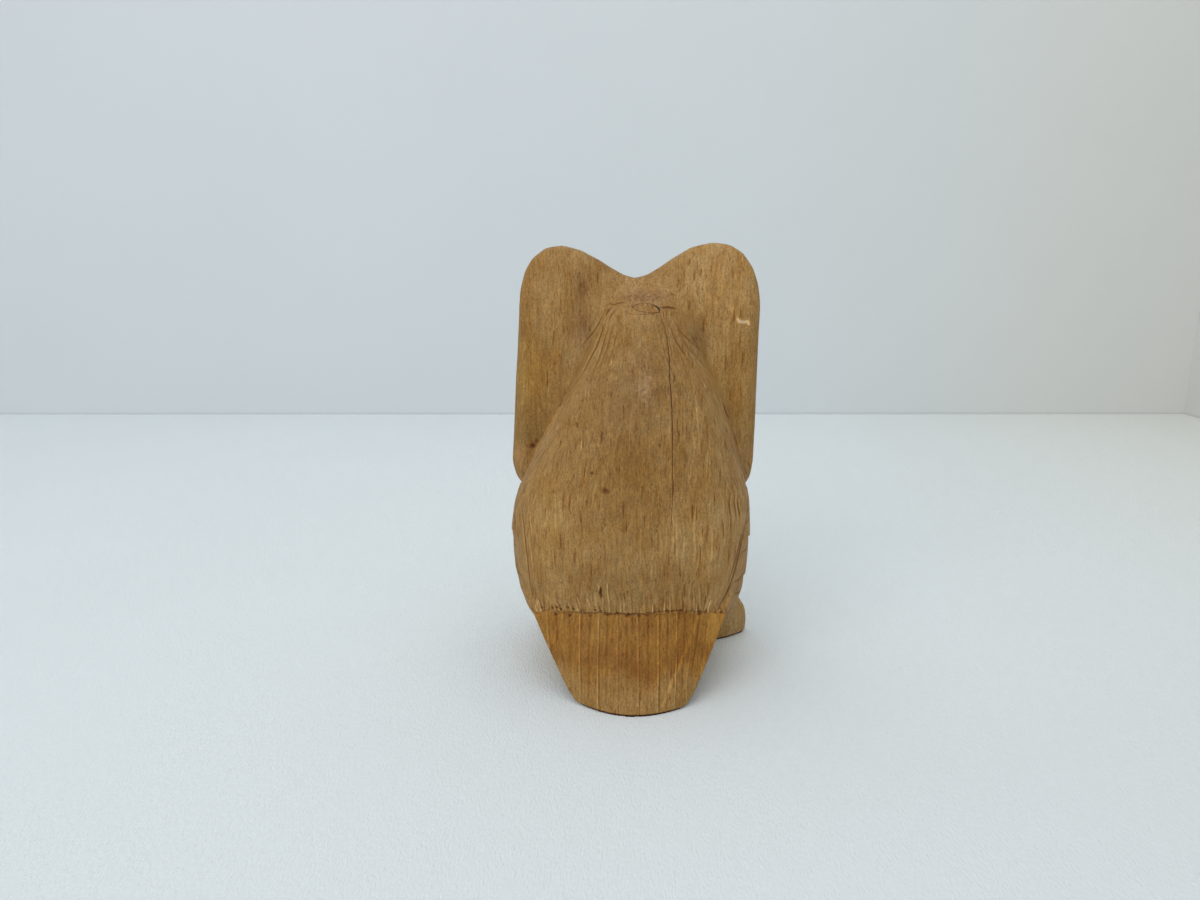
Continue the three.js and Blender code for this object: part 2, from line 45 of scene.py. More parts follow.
VOXEL = 0.34  # spacing of the carved surface's points
CANVAS_CELL = 0.16  # spacing of the drawings that the cuts are made on
SMOOTH_PASSES = 60
CREASE_KEEP = 1.3  # a crease keeps its edge within this distance
VALLEY_PASSES = 320  # of smoothing, where the nape runs into the flaps
UNDERCUT = 0.9  # size of the broken edge round the underside
KNOT = Vector((-3.6, 9.0, 129.2))  # middle of the knot's face
PLUG_TILT = math.radians(40)  # the knot's axis points this far above level
PLUG_AXIS = np.array([0, math.cos(PLUG_TILT), math.sin(PLUG_TILT)])
KNOT_SWELL = 0.36  # closes the seam round the knot
EYE = (19.8, 99.0)  # x and z of the left eye; the right one mirrors it
DISC_RADIUS = 16.8  # of the facial disc round each eye
TAIL_TIP, TAIL_ROOT = 18.6, 33  # half widths
TAIL_START = 31.0  # x where the first lane between two tail grooves begins
LANE_WIDTH = 6.4  # usual distance between two tail grooves
CREASE_ANGLES = (-24, 48)  # an edge that bends less, inwards or outwards, is no crease
FINE_FORMS = 0.86  # of the smoothing is kept off the face and the toes
KNOT_VOXEL, EYE_VOXEL = 0.22, 0.16
CHEST_TOP, CHEST_ROW, CHEST_PITCH = 61, 6.1, 7.4  # height, and spacing of the feather tips
TOE_FAN, TOE_TURN = 16, 10  # degrees between toes, and of the foot outwards

rng = np.random.default_rng(4)
uniform, gauss = rng.uniform, rng.normal


# ---------------------------------------------------------------- measured lines, in x and z

# Lower edge of the back plumage
HEM = [
    (34.5, 25.2), (30, 26.6), (27.5, 27.7), (24.2, 27.9), (18.9, 28.7), (13.3, 29.0), (9.1, 29.6),
    (2.4, 29.8), (-4.2, 29.4), (-10.8, 30.6), (-15.8, 31.0), (-20.8, 29.8), (-25.9, 28.7),
    (-30.1, 28.2), (-34.5, 26.4),
]
# Edges of the back plumage against the head's flaps and the wings, as z and then x
PLUMAGE_LEFT = [
    (26, 33.4), (33.5, 35.2), (44, 35.6), (54, 36.6), (63, 38.3), (70, 39), (76.6, 35.4), (83.4, 31.6),
    (90.8, 27.5), (97, 24.2), (104, 21.7), (111, 19.5), (116.5, 17.7), (123.5, 14.6),
]
PLUMAGE_RIGHT = [
    (26, -31), (30.6, -32.5), (36.6, -35.4), (44.5, -36.8), (51.6, -38.4), (58.4, -38.5), (65.7, -37.2),
    (77, -38.3), (86.9, -35.1), (96.6, -31.7), (103, -28.7), (111, -24.1), (118, -19.2), (124.6, -13.1),
]
# Lines that follow these edges: side, inset, lowest and highest end, dark
EDGE_LINES = [
    (1, 1.3, 31, 63, 0.85), (1, 3.6, 40, 58, 0.35), (1, 4.9, 55, 67, 0.3), (-1, 1.2, 59, 67, 0.7),
    (-1, 2.4, 59, 69, 0.7), (-1, 4.2, 60, 70, 0.75), (-1, 6.0, 69, 74, 0.5), (-1, 7.2, 53, 62, 0.4),
]
# Drying crack
CRACK = [
    (-9.0, 127.4), (-9.5, 125.4), (-10.9, 121.7), (-11.9, 117.0), (-12.6, 110.8), (-12.8, 106.3),
    (-13.4, 100.2), (-13.9, 91.1), (-14.1, 81.8), (-14.3, 72.5), (-14.2, 64.6), (-13.7, 56.4),
]
# Tail grooves, from the hem to the tip
TAIL_GROOVES = [
    [(24.5, 27.1), (22.8, 18), (20.7, 10.6)],
    [(19.5, 27.6), (19.0, 17), (18.2, 6.4)],
    [(12.5, 28.4), (12.4, 15), (11.9, 2.6)],
    [(6.5, 29.2), (6.4, 15), (6.0, 2.2)],
    [(0.1, 29.2), (-0.6, 14), (-1.1, 1.4)],
    [(-6.9, 29.4), (-7.4, 15), (-7.6, 1.2)],
    [(-13.5, 30.4), (-13.8, 15), (-13.7, 1.6)],
    [(-19.2, 29.6), (-19.3, 17), (-18.7, 4.0)],
    [(-24.2, 28.6), (-23.2, 18), (-21.3, 9.6)],
]
# Outline of the knot's heart on its face: x, and the height across the plug's axis
KNOT_HEART = [
    (0.1, 0.7), (-1.6, 1.45), (-4.1, 1.65), (-6.6, 1.35), (-8.5, 0.5), (-9.3, -0.5),
    (-8.7, -1.3), (-7.4, -1.9), (-5.0, -2.3), (-2.5, -1.75), (-0.8, -0.7),
]
# Single cuts of the back: points, then width, depth, dark, taper, pale, highlight lip (a painted highlight
# beside the cut) and power
CUTS = [
    # Right border of the plumage over the wing: two cuts that meet below
    ([(-39.7, 58), (-39.0, 55.6), (-37.4, 48), (-35.3, 39.1), (-33.1, 33.5), (-30.4, 28.6)],
     0.8, 0.45, 0.8, 0.3),
    ([(-38.5, 56.8), (-36.7, 48.4), (-34.5, 40.9), (-33.2, 36.5)], 0.6, 0.3, 0.75),
    # Both rims of the tail: a painted highlight on the right rim's bevel, painted shade along the left rim
    ([(-23.6, 27.6), (-20.6, 20), (-16.4, 11.3), (-13.4, 5.4), (-12.2, 3)], 1.5, 0, 0, 0.3, 0.55),
    ([(33.4, 26.4), (28.9, 17.6), (23.4, 7.6), (19.0, 2.0)], 0.7, 0.1, 0.4, 0.3),
    # The drying crack runs out below, and a split sits over the hem
    (CRACK, 0.5, 0.25, 0.2, 0.6, 0, 0, 0.6),
    ([(-13.7, 57.5), (-13.2, 47), (-12.9, 40)], 0.5, 0.1, 0.3, 1.0),
    ([(8.7, 39.4), (8.8, 37.4), (8.4, 35.2)], 1.0, 0.9, 1.3, 0.4),
    ([(8.3, 36), (8.0, 30.4)], 0.5, 0.3, 0.7, 0.3),
    # Checks that run on from both ends of the knot
    ([(-9.2, 128.6), (-12.0, 128.6), (-14.4, 128.0)], 0.8, 0.3, 0.9, 0.5),
    ([(2.2, 129.9), (4.4, 129.9), (6.6, 129.1), (9.6, 129.4)], 0.6, 0.25, 0.7, 0.7),
    ([(7.0, 128.8), (9.0, 126.6), (9.6, 124.6)], 0.7, 0.2, 0.8, 0.9),
    ([(5.6, 128.2), (7.4, 125.8), (8.6, 122.6)], 0.7, 0.2, 0.6, 0.9),
    # Notch and edge where the right flap meets the plumage, with painted highlights along the edge
    ([(-31.0, 95.9), (-32.0, 93.0), (-33.6, 89.4)], 0.8, 0.35, 0.95),
    ([(-33.4, 90.5), (-35.4, 84.6), (-36.9, 79.4), (-38.4, 74.6)], 0.7, 0.2, 0.45, 0.7, 0, -0.3),
    ([(-31.4, 92.5), (-33.4, 86.0)], 0.7, 0.1, 0, 0.6, 0.7),
    # White scrape on the right flap
    ([(-35.2, 124.6), (-36.0, 123.4), (-37.6, 122.9), (-39.4, 123.3)], 1.3, 0.1, 0, 0.5, 1.8),
    ([(-39.3, 123.1), (-39.6, 121.8)], 1.1, 0.1, 0, 0.4, 1.6),
]
# Single dashes on the plumage and under the right flap: both ends, width, dark, pale
DASHES = [
    (-29.9, 79, -29.7, 70.9, 0.65, 0.55, 0), (-31.2, 61, -31.5, 54.1, 0.65, 0.6, 0),
    (-33.4, 51.4, -33.3, 43.9, 0.65, 0.55, 0), (-25.4, 84.8, -25.1, 74.4, 0.65, 0, 0.6),
    (-27.6, 54.2, -27.4, 45.9, 0.65, 0, 0.55), (-18.6, 58, -17.8, 49, 0.65, 0, 0.6),
    (-22.0, 68, -21.4, 61, 0.65, 0, 0.5), (-10.4, 60, -11.2, 50.5, 0.65, 0, 0.5),
    (27.4, 66, 27.9, 59, 0.65, 0.5, 0), (22.6, 83, 22.4, 76, 0.65, 0.45, 0),
    (31.2, 55, 31.8, 49, 0.65, 0.5, 0), (24.8, 48, 25.0, 42, 0.65, 0.45, 0),
    (-38.4, 72, -39.2, 68.6, 0.55, 0.55, 0), (-39.8, 71, -41.2, 67.6, 0.55, 0.55, 0),
    (-37.4, 73, -37.9, 70.4, 0.55, 0.55, 0), (-40.9, 73.4, -42, 70, 0.55, 0.55, 0),
]
# Grain that fans out of the nape beside the knot: both ends, strength
FANS = [
    (8.5, 126, 17.5, 105, 0.55), (7.5, 125, 14.5, 103, 0.35), (6, 125, 11.6, 106, 0.3),
    (9.6, 127, 19.5, 113, 0.4), (4.5, 124, 8.4, 108, 0.22), (-11, 126, -20, 110, 0.35),
    (-12, 127, -24, 113, 0.3), (-8, 125, -15.6, 104, 0.25), (-13, 125.5, -27, 106, 0.22),
    (2, 124, 3.4, 104, 0.16), (-3, 124, -4.4, 106, 0.16),
]
# Tool marks on the tufts and flaps: middle, length, dark
TOOL_MARKS = [
    (-18.8, 143.2, 3.4, 0.5), (-20.6, 138.9, 4.6, 0.6), (-22.7, 139.4, 3.6, 0.5), (-24.3, 138.4, 4.4, 0.45),
    (-26.3, 140.6, 3.8, 0.45), (-27.9, 133.9, 5.2, 0.35), (-19.1, 128.8, 3.4, 0.65), (-24.1, 122.0, 6.4, 0.7),
    (-33.6, 139.8, 4.6, 0.4), (-35.2, 129.5, 5.0, 0.35), (-15.5, 136.4, 3.0, 0.4), (-31, 127.5, 5.4, 0.25),
    (-36.8, 117.0, 6.0, 0.3), (-21.8, 133.5, 3.2, 0.4), (16.4, 133.0, 3.6, 0.35), (21.2, 127.6, 4.6, 0.35),
    (24.6, 120.2, 5.2, 0.3), (28.2, 136.5, 3.4, 0.25), (33.6, 126.4, 4.8, 0.25), (19.4, 138.2, 3.4, 0.3),
]
# Pits, specks and smudges: middle, radii, depth, dark, pale, angle
SPOTS = [
    (11.8, 77.2, 0.8, 0.7, 0.25, 0.9, 0, 0), (7.4, 71.9, 1.7, 1.3, 0.25, 0.9, 0, 0),
    (13.2, 68.1, 0.6, 0.9, 0.25, 0.5, 0, 0), (1.1, 59.4, 1.5, 1.5, 0.25, 0.35, 0, 0),
    (7.2, 61.1, 1.0, 1.4, 0.25, 0.35, 0, 0), (10.4, 70.0, 0.5, 0.8, 0.25, 0.4, 0, 0),
    (-4.6, 110.6, 0.6, 0.7, 0.15, 0.7, 0, 0), (-4.4, 103.4, 0.5, 0.6, 0.15, 0.6, 0, 0),
    (36.1, 78.1, 1.5, 1.2, 0.6, 0.9, 0, -35), (34.6, 79.9, 1.5, 0.9, 0.25, 0.6, 0, -60),
    (25.6, 93.2, 0.9, 0.6, 0.35, 0.8, 0, -50), (-33.0, 128.2, 3.6, 1.6, 0, 0, 0.35, 50),
]
# Ends of the last wing feathers against the plumage's border, in y and z
FEATHER_ENDS = [
    [(5.9, 66.3), (10.6, 63.8), (12.2, 60.6), (15.7, 55.6), (17.6, 49.5)],
    [(4, 57.6), (9, 57), (12.4, 56.4), (15.2, 56)], [(3, 49.6), (8.9, 47.3), (11.4, 46.3), (16.6, 46.9)],
    [(6, 39), (14.1, 36.8), (16.6, 36.6), (18.6, 37.2)],
    [(4, 31.6), (9.5, 29.9), (12, 30.4), (15, 31.4)],
]
# Broad patches of another tone: centre, radii, and what the wood's colour is multiplied by
TONES = np.reshape([
    (-4, 8, 134, 11, 14, 4.5, 0.98, 0.92, 1.0), (-5, 6, 131.8, 10, 8, 2.0, 0.86, 0.86, 0.9),
    # The second patch on the line below and both patches on the line after it darken the valleys beside the
    # nape: painted shade
    (-5, 21, 105.5, 2.8, 12, 5.5, 1.16, 1.26, 1.9), (18, -3, 135, 2.5, 8, 5, 0.76, 0.73, 0.76),
    (17, -2, 120, 4.5, 10, 7, 0.78, 0.76, 0.82), (-22, 2, 117, 4.5, 10, 5, 0.82, 0.82, 0.9),
    (36, -4, 105, 9, 12, 14, 0.94, 0.86, 0.48), (37, -5, 84, 7, 10, 9, 0.73, 0.71, 0.5),
    (41, -6, 75, 2.6, 8, 3.6, 1.25, 1.22, 1.4), (-38, -3, 98, 9, 12, 22, 1.04, 0.98, 0.78),
    # The second patch on the line below brightens and blues the right tuft: painted light from the right
    (-27, 2, 103, 5, 10, 14, 1.2, 1.2, 1.16), (-31, -2, 136, 15, 14, 15, 1.33, 1.34, 1.48),
    (30, -2, 136, 15, 14, 12, 1.08, 1.06, 1.04), (-2, 25, 104, 16, 20, 14, 0.79, 0.77, 0.74),
    (0, 33, 76, 18, 20, 18, 0.78, 0.7, 0.46), (0, 34, 40, 17, 12, 9, 0.85, 0.83, 0.78),
    (-29, 24, 52, 9, 20, 22, 1.22, 1.28, 1.42), (-40, 10, 46, 4, 10, 20, 1.12, 1.12, 1.2),
    # The second patch on the line below brightens and blues the right foot: painted bounce light on its
    # shaded side
    (28, 24, 56, 9, 20, 20, 1.12, 1.12, 1.06), (-30, -16, 9, 18, 18, 18, 1.38, 1.6, 2.2),
], (-1, 3, 3))


def border(side, z):
    """X of the back plumage's left (1) or right (-1) edge."""
    heights, values = zip(*(PLUMAGE_LEFT if side > 0 else PLUMAGE_RIGHT))
    return np.interp(z, heights, values)


def hem_at(x):
    xs, zs = zip(*sorted(HEM))
    return np.interp(x, xs, zs)


def ramp(value, low, high):
    t = np.clip((value - low) / (high - low), 0, 1)
    return t * t * (3 - 2 * t)


# ---------------------------------------------------------------- drawing the cuts


class Canvas:
    """A plane drawing of the cuts: their depth, how dark or pale each leaves the wood, and the highlights and
    shade painted beside some.
    """

    def __init__(self, u_range, v_range):
        self.low = (u_range[0], v_range[0])
        columns, rows = (int((high - low) / CANVAS_CELL) + 2 for low, high in (u_range, v_range))
        self.layers = np.zeros((3, rows, columns))

    def window(self, points, pad):
        """The cells near the points, and their places."""
        low = (points.min(0) - pad - self.low) / CANVAS_CELL
        high = (points.max(0) + pad - self.low) / CANVAS_CELL
        _, rows, columns = self.layers.shape
        c0, r0 = np.clip(np.floor(low).astype(int), 0, [columns, rows])
        c1, r1 = np.clip(np.ceil(high).astype(int) + 1, 0, [columns, rows])
        u = self.low[0] + np.arange(c0, c1) * CANVAS_CELL
        v = self.low[1] + np.arange(r0, r1) * CANVAS_CELL
        return (slice(r0, r1), slice(c0, c1)), *np.meshgrid(u, v)

    def lay(self, where, *values):
        """Each layer keeps the strongest mark."""
        for layer, value in zip(self.layers, values):
            layer[where] = np.maximum(layer[where], value)

    def stroke(self, points, width, depth=0.0, dark=0.0, taper=0.6, pale=0.0, highlight_lip=0.0, power=1.0):
        """One cut along points: a groove, and a painted highlight on its +u side, or -u where the lip is
        negative.
        """
        points = np.asarray(points, float)
        half = width / 2
        where, u, v = self.window(points, half * 3 + 0.6)
        steps = np.diff(points, axis=0)
        lengths = np.hypot(steps[:, 0], steps[:, 1])
        total = max(lengths.sum(), 1e-6)
        nearest = np.full(u.shape, 1e9)
        along, side = np.zeros(u.shape), np.zeros(u.shape)
        travelled = 0.0
        for start, step, length in zip(points[:-1], steps, lengths):
            t = ((u - start[0]) * step[0] + (v - start[1]) * step[1]) / max(length * length, 1e-9)
            t = np.clip(t, 0, 1)
            du, dv = u - start[0] - t * step[0], v - start[1] - t * step[1]
            distance = np.hypot(du, dv)
            closer = distance < nearest
            nearest = np.where(closer, distance, nearest)
            along = np.where(closer, (travelled + t * length) / total, along)
            side = np.where(closer, du, side)
            travelled += length
        ends = 1 - taper * np.abs(2 * along - 1) ** 2.5
        reach = np.maximum(half * ends, 1e-3)
        groove = np.clip(1 - nearest / reach, 0, 1) ** power
        stain = np.clip(1.5 - 1.3 * nearest / reach, 0, 1) * ends
        # Painted highlight: a pale band beside the groove, on the side that the lip's sign gives
        beside = np.exp(-(((side * np.sign(highlight_lip)) - half * 1.3) / (half * 0.8)) ** 2)
        light = np.maximum(pale * stain, abs(highlight_lip) * beside * ends * (nearest < half * 3))
        self.lay(where, depth * groove * ends, dark * stain, light)

    def blot(self, centre, radii, depth=0.0, dark=0.0, pale=0.0, angle=0.0):
        """A soft-edged oval pit or smudge."""
        where, u, v = self.window(np.asarray([centre], float), max(radii) * 1.6)
        c, s = math.cos(math.radians(angle)), math.sin(math.radians(angle))
        du, dv = u - centre[0], v - centre[1]
        r = np.hypot((du * c + dv * s) / radii[0], (dv * c - du * s) / radii[1])
        shape = np.clip(1.3 - r, 0, 1) ** 1.5
        self.lay(where, depth * shape, dark * shape, pale * shape)

    def scallop(self, centre, radii, depth, run, dark):
        """A feather's tip: a rounded stop cut, with the wood pared away below it."""
        where, u, v = self.window(np.asarray([centre], float), max(radii) + 3 * run)
        du, dv = (u - centre[0]) / radii[0], (v - centre[1]) / radii[1]
        r = np.maximum(np.hypot(du, dv), 1e-6)
        beyond = (r - 1) * radii[1]
        lower = ramp(-dv / r, 0.05, 0.5)
        pared = np.exp(-np.maximum(beyond, 0) / run) * ramp(beyond, -0.2, 0.15) * lower
        line = np.clip(1.2 - np.abs(beyond - 0.1) / 0.45, 0, 1) * lower
        self.lay(where, depth * pared, dark * line)

    def sample(self, u, v):
        """Cut, dark and pale at many places, between the cells."""
        _, rows, columns = self.layers.shape
        x = np.clip((u - self.low[0]) / CANVAS_CELL, 0, columns - 1.001)
        y = np.clip((v - self.low[1]) / CANVAS_CELL, 0, rows - 1.001)
        c, r = x.astype(int), y.astype(int)
        fx, fy = x - c, y - r
        layers = self.layers
        low, high = (layers[:, i, c] * (1 - fx) + layers[:, i, c + 1] * fx for i in (r, r + 1))
        return low * (1 - fy) + high * fy


def drawn_in(x, z, length):
    """The far end of a fibre line from x, z: the grain gathers towards the nape."""
    left, right = border(1, z), border(-1, z)
    far_left, far_right = border(1, z + length), border(-1, z + length)
    across = (x - right) / (left - right)
    return x + 0.55 * (far_right + across * (far_left - far_right) - x), z + length


def draw_back():
    """Everything the carver, the wood and the years left on the back, with highlights and shade painted
    beside some cuts and edges.
    """
    canvas = Canvas((-52, 52), (-2, 152))
    stroke = canvas.stroke
    # Brown dashes, in loose clusters
    for _ in range(60):
        z, middle, strength = uniform(33, 92), uniform(0.04, 0.96), uniform(0.2, 0.5)
        for _ in range(rng.integers(2, 5)):
            level = z + gauss(0, 4)
            right, left = border(-1, level), border(1, level)
            x = right + (left - right) * np.clip(middle + gauss(0, 0.035), 0.03, 0.97)
            length = uniform(1.5, 7)
            if level >= hem_at(x) + 2:
                dark = strength * uniform(0.6, 1.0)
                stroke([(x, level), drawn_in(x, level, length)], uniform(0.5, 0.8), 0.12, dark)
    # Fine scattered dashes everywhere on the plumage
    for _ in range(160):
        level = uniform(31, 116)
        x = uniform(border(-1, level) + 1, border(1, level) - 1)
        if level >= hem_at(x) + 1:
            end = drawn_in(x, level, uniform(1.2, 4.0))
            stroke([(x, level), end], uniform(0.4, 0.6), 0.06, uniform(0.12, 0.4))
    # Pale gouge lines
    for _ in range(30):
        level = uniform(36, 84)
        right, left = border(-1, level), border(1, level)
        x = right + (left - right) * rng.beta(1.3, 1.9)
        length = uniform(5, 19)
        end = drawn_in(x, level, length)
        middle = ((x + end[0]) / 2 + gauss(0, 0.25), level + length / 2)
        stroke([(x, level), middle, end], uniform(0.55, 0.75), 0.22, pale=uniform(0.25, 0.7))
    # Long lines that follow the plumage's edges beside the wings, each with a painted highlight on its outer
    # side
    for side, inset, low, high, dark in EDGE_LINES:
        line = [(border(side, z) - side * (inset + gauss(0, 0.05)), z) for z in np.linspace(low, high, 9)]
        stroke(line, 0.65, 0.26, dark, highlight_lip=0.35 * side)
    # The plumage's left edge over the flap is knife-cut, with a painted highlight along it
    stroke([(border(1, z) - 0.9, z) for z in np.linspace(69, 100, 12)], 1.6, 0, 0, 0.8, 0.75)
    stroke([(border(-1, z) - 0.2, z) for z in np.linspace(84, 98, 8)], 0.6, 0.2, 0.3, 0.9)
    for x, z, end_x, end_z, width, dark, pale in DASHES:
        stroke([(x, z), (end_x, end_z)], width, 0.2, dark, 0.8, pale)
    # Each fan line has a painted highlight beside it
    for x, z, end_x, end_z, strength in FANS:
        middle = (x * 0.6 + end_x * 0.4, (z + end_z) / 2)
        stroke([(x, z), middle, (end_x, end_z)], 0.7, 0.2, strength * 1.5, 0.9, highlight_lip=strength * 0.5)
    for x, z, length, dark in TOOL_MARKS:
        stroke([(x, z + length / 2), (x - 0.3 * np.sign(x), z - length / 2)], 0.95, 0.22, dark)
    for points, *settings in CUTS:
        stroke(points, *settings)
    for x, z, width, height, *settings in SPOTS:
        canvas.blot((x, z), (width, height), *settings)

    # Hem: an uneven stop cut, with a pit where each tool stroke ended
    start = -33.5
    while start < 34:
        end = start + uniform(1.2, 4.6)
        line = [(x, hem_at(x) - 0.1 + gauss(0, 0.16)) for x in np.linspace(start, end + 0.2, 4)]
        strength = uniform(0.3, 0.7) if -20 < start < 14 else uniform(0.05, 0.35)
        stroke(line, uniform(0.6, 0.85), 0.5, strength, 0.3)
        size = uniform(0.5, 0.85)
        level = hem_at(start) + (uniform(0.4, 1.6) if start > 8 else uniform(-0.4, 0.6))
        turn = uniform(-60, 60)
        canvas.blot((start, level), (size, size * 0.7), 0.6, uniform(0.7, 1.4), angle=turn)
        stroke([(start, level), (start + uniform(-0.2, 0.9), level + uniform(1.0, 2.6))], 0.6, 0.25, 0.6)
        start = end
    # Short gouge strokes run up from it, leaning outwards on the left, each with a line of painted shade
    # beside it
    x = -33.0
    while x < 33:
        z = hem_at(x) + uniform(0.4, 1.2)
        lean = 0.34 if x > 11 else (-0.22 if x < -25 else gauss(0.05, 0.03))
        length = uniform(3.0, 6.0) if x > 11 or x < -25 else uniform(5.0, 12.5)
        top = (x + lean * length, z + length)
        middle = (x + lean * length * 0.4, z + length * 0.5)
        stroke([(x, z), middle, top], uniform(0.7, 1.0), 0.26, pale=uniform(0.2, 0.6))
        stroke([(x - 0.75, z), (top[0] - 0.75, top[1] - 1)], 0.6, 0.1, uniform(0.1, 0.4))
        x += uniform(1.1, 2.9)

    # Tail: radiating V-cuts and fine dashes
    for groove in TAIL_GROOVES:
        xs, zs = zip(*groove)
        levels = np.linspace(zs[0], zs[-1], 8)
        line = [(np.interp(-z, [-v for v in zs], xs) + gauss(0, 0.13), z) for z in levels]
        stroke(line, 0.9, 0.42, uniform(0.1, 0.3), 0.45)
        stroke(line[:3], 0.9, 0.4, uniform(0.2, 0.5), 0.8)
        canvas.blot((xs[0], zs[0] - 0.2), (0.8, 0.6), 0.5, uniform(0.5, 1.2))
    for _ in range(50):
        z = uniform(3, 25)
        half = TAIL_TIP + (TAIL_ROOT - TAIL_TIP) * z / 30 - 2
        x = uniform(-half - 0.5, half - 0.5)
        stroke([(x, z), (x * 1.03, z + uniform(1.5, 5))], 0.45, 0.04, uniform(0.1, 0.4))

    # Dirt over the knot, and a dusty patch under the nape
    for _ in range(70):
        x, z = gauss(-5, 5.5), gauss(131.8, 0.8)
        end = (x + gauss(0, 1.1), z + gauss(0, 0.7))
        stroke([(x, z), end], 0.5, 0.08, uniform(0.15, 0.6))
    for _ in range(60):
        x, z = gauss(-5.0, 1.3), gauss(105.5, 2.6)
        canvas.blot((x, z), (uniform(0.3, 0.8), uniform(0.4, 1.0)), pale=uniform(0.15, 0.5))
    # Painted shade in the valleys beside the nape: short dark streaks
    for middle, spread, count in (
        ((18.5, 135), (1.4, 3.5), 26), ((17.6, 120), (2.2, 5.5), 60), ((-22, 117.5), (2.6, 3.5), 46),
    ):
        for _ in range(count):
            x, z = gauss(middle, spread)
            end = (x + 0.012 * (z - 128) * np.sign(x), z + uniform(0.6, 3.2))
            stroke([(x, z), end], 0.55, 0.06, uniform(0.15, 0.5))
    # Fine dashes on the flaps, and gouge marks that rise beside the nape
    for _ in range(200):
        side = rng.choice((-1, 1))
        x, z = side * uniform(8, 42), uniform(76, 147)
        if abs(x) >= abs(border(side, z)) + 1:
            dark = uniform(0.12, 0.42)
            stroke([(x, z), (x + gauss(0, 0.1), z + uniform(1.2, 4.6))], 0.5, 0.05, dark)
    for z in np.arange(124, 141, 1.4):
        stroke([(9.5, z - 2.2), (15.5, z + 1.5)], 0.6, 0.06, uniform(0.08, 0.3))
    return canvas


def draw_front():
    """Feather cuts on the face and the chest."""
    canvas = Canvas((-52, 52), (-2, 152))
    stroke = canvas.stroke
    for side in (-1, 1):
        centre = np.array([side * EYE[0], EYE[1]])
        for i, angle in enumerate(np.arange(0, 360, 9)):
            turn = math.radians(angle + gauss(0, 0.8))
            ray = np.array([math.cos(turn), math.sin(turn)])
            inner = 9.6 + (1.6 if i % 2 else 0) + gauss(0, 0.2)
            outer = DISC_RADIUS + 1.5 + gauss(0, 0.3)
            stroke([centre + ray * inner, centre + ray * outer], 1.0, 0.34, 0.5, 0.5)
        # Barbs that slant up and outwards along each brow
        root, tip = np.array([3.0, 109.0]), np.array([24.8, 141.4])
        for share in np.arange(0.1, 0.98, 0.075):
            base = root + (tip - root) * share
            for direction in ((3.6, 1.2), (-0.9, 4.2)):
                end = base + np.array(direction) * math.sin(math.pi * share) ** 0.6
                stroke([(side * base[0], base[1]), (side * end[0], end[1])], 0.85, 0.3, 0.45, 0.8)
        # Short strokes over the cheeks and the tuft's edge
        for x, z in ((30, 74), (26, 70.5), (34, 78), (21, 70), (38, 83), (16.5, 72)):
            stroke([(side * x, z), (side * (x + 1.8), z - 5)], 0.8, 0.26, 0.4, 0.8)
        for x, z in ((31, 138), (34, 134), (36, 129), (37.6, 124), (28, 141)):
            stroke([(side * x, z), (side * (x - 1.6), z - 6)], 0.8, 0.24, 0.4, 0.8)
    # Short cuts fan out over the forehead and the tufts, and hang over the throat
    clear = DISC_RADIUS + 3
    for _ in range(330):
        x, z = uniform(-38, 38), uniform(104, 146)
        if math.hypot(abs(x) - EYE[0], z - EYE[1]) >= clear:
            ray = np.array([x * 0.9, z - 92.0])
            ray = ray / np.hypot(*ray) * uniform(2.2, 4.6)
            stroke([(x, z), (x + ray[0], z + ray[1])], uniform(0.6, 0.85), 0.24, uniform(0.2, 0.55), 0.8)
    for _ in range(120):
        x, z = uniform(-36, 36), uniform(64, 84)
        if math.hypot(abs(x) - EYE[0], z - EYE[1]) >= clear:
            down = uniform(2.0, 4.0)
            stroke([(x, z), (x + x * 0.02 * down, z - down)], 0.7, 0.22, uniform(0.2, 0.5), 0.8)
    # Chest: rows of feather tips, each with a shaft and barbs
    for row, half in enumerate((15, 21, 25, 27, 27, 24, 18)):
        for i in range(-5, 6):
            x = (i + (0.5 if row % 2 else 0)) * CHEST_PITCH + gauss(0, 0.25)
            if abs(x) > half:
                continue
            level = CHEST_TOP - row * CHEST_ROW + gauss(0, 0.2)
            canvas.scallop((x, level), (3.8, 4.4), 0.75, 1.9, 0.6)
            stroke([(x, level + 1.5), (x, level - 3.4)], 0.6, 0.22, 0.4, 0.8)
            for side in (-1, 1):
                for drop in (0.2, -1.2):
                    start, end = (x + side * 0.5, level + drop), (x + side * 2.0, level + drop - 1.7)
                    stroke([start, end], 0.5, 0.14, 0.3, 0.8)
    return canvas


def draw_top():
    """Cuts between the toes and across the claws' roots, in x and y."""
    canvas = Canvas((-54, 54), (-56, -20))
    for side, spread in ((1, 21.5), (-1, -28.0)):
        middle = np.array([spread, -26.0])

        def towards(toe):
            angle = math.radians(TOE_FAN * toe + TOE_TURN * side)
            return np.array([math.sin(angle), -math.cos(angle)]), np.array([math.cos(angle), math.sin(angle)])

        for toe in (-1.5, -0.5, 0.5, 1.5):
            ray, _ = towards(toe)
            canvas.stroke([middle + ray * 13, middle + ray * 25.5], 1.6, 0.9, 0.7, 0.5)
        for toe in (-1, 0, 1):
            ray, across = towards(toe)
            reach = 19.5 - abs(toe)
            for radius, width in ((reach, 2.6), (reach - 4.2, 2.2)):
                steps = (-1, -0.5, 0, 0.5, 1)
                arc = [middle + ray * (radius - 0.5 * abs(t)) + across * width * t for t in steps]
                canvas.stroke(arc, 0.8, 0.4, 0.6, 0.5)
    return canvas


def bow(start, bend, end, count):
    t = np.linspace(0, 1, count)[:, None]
    return start * (1 - t) ** 2 + bend * 2 * t * (1 - t) + end * t * t


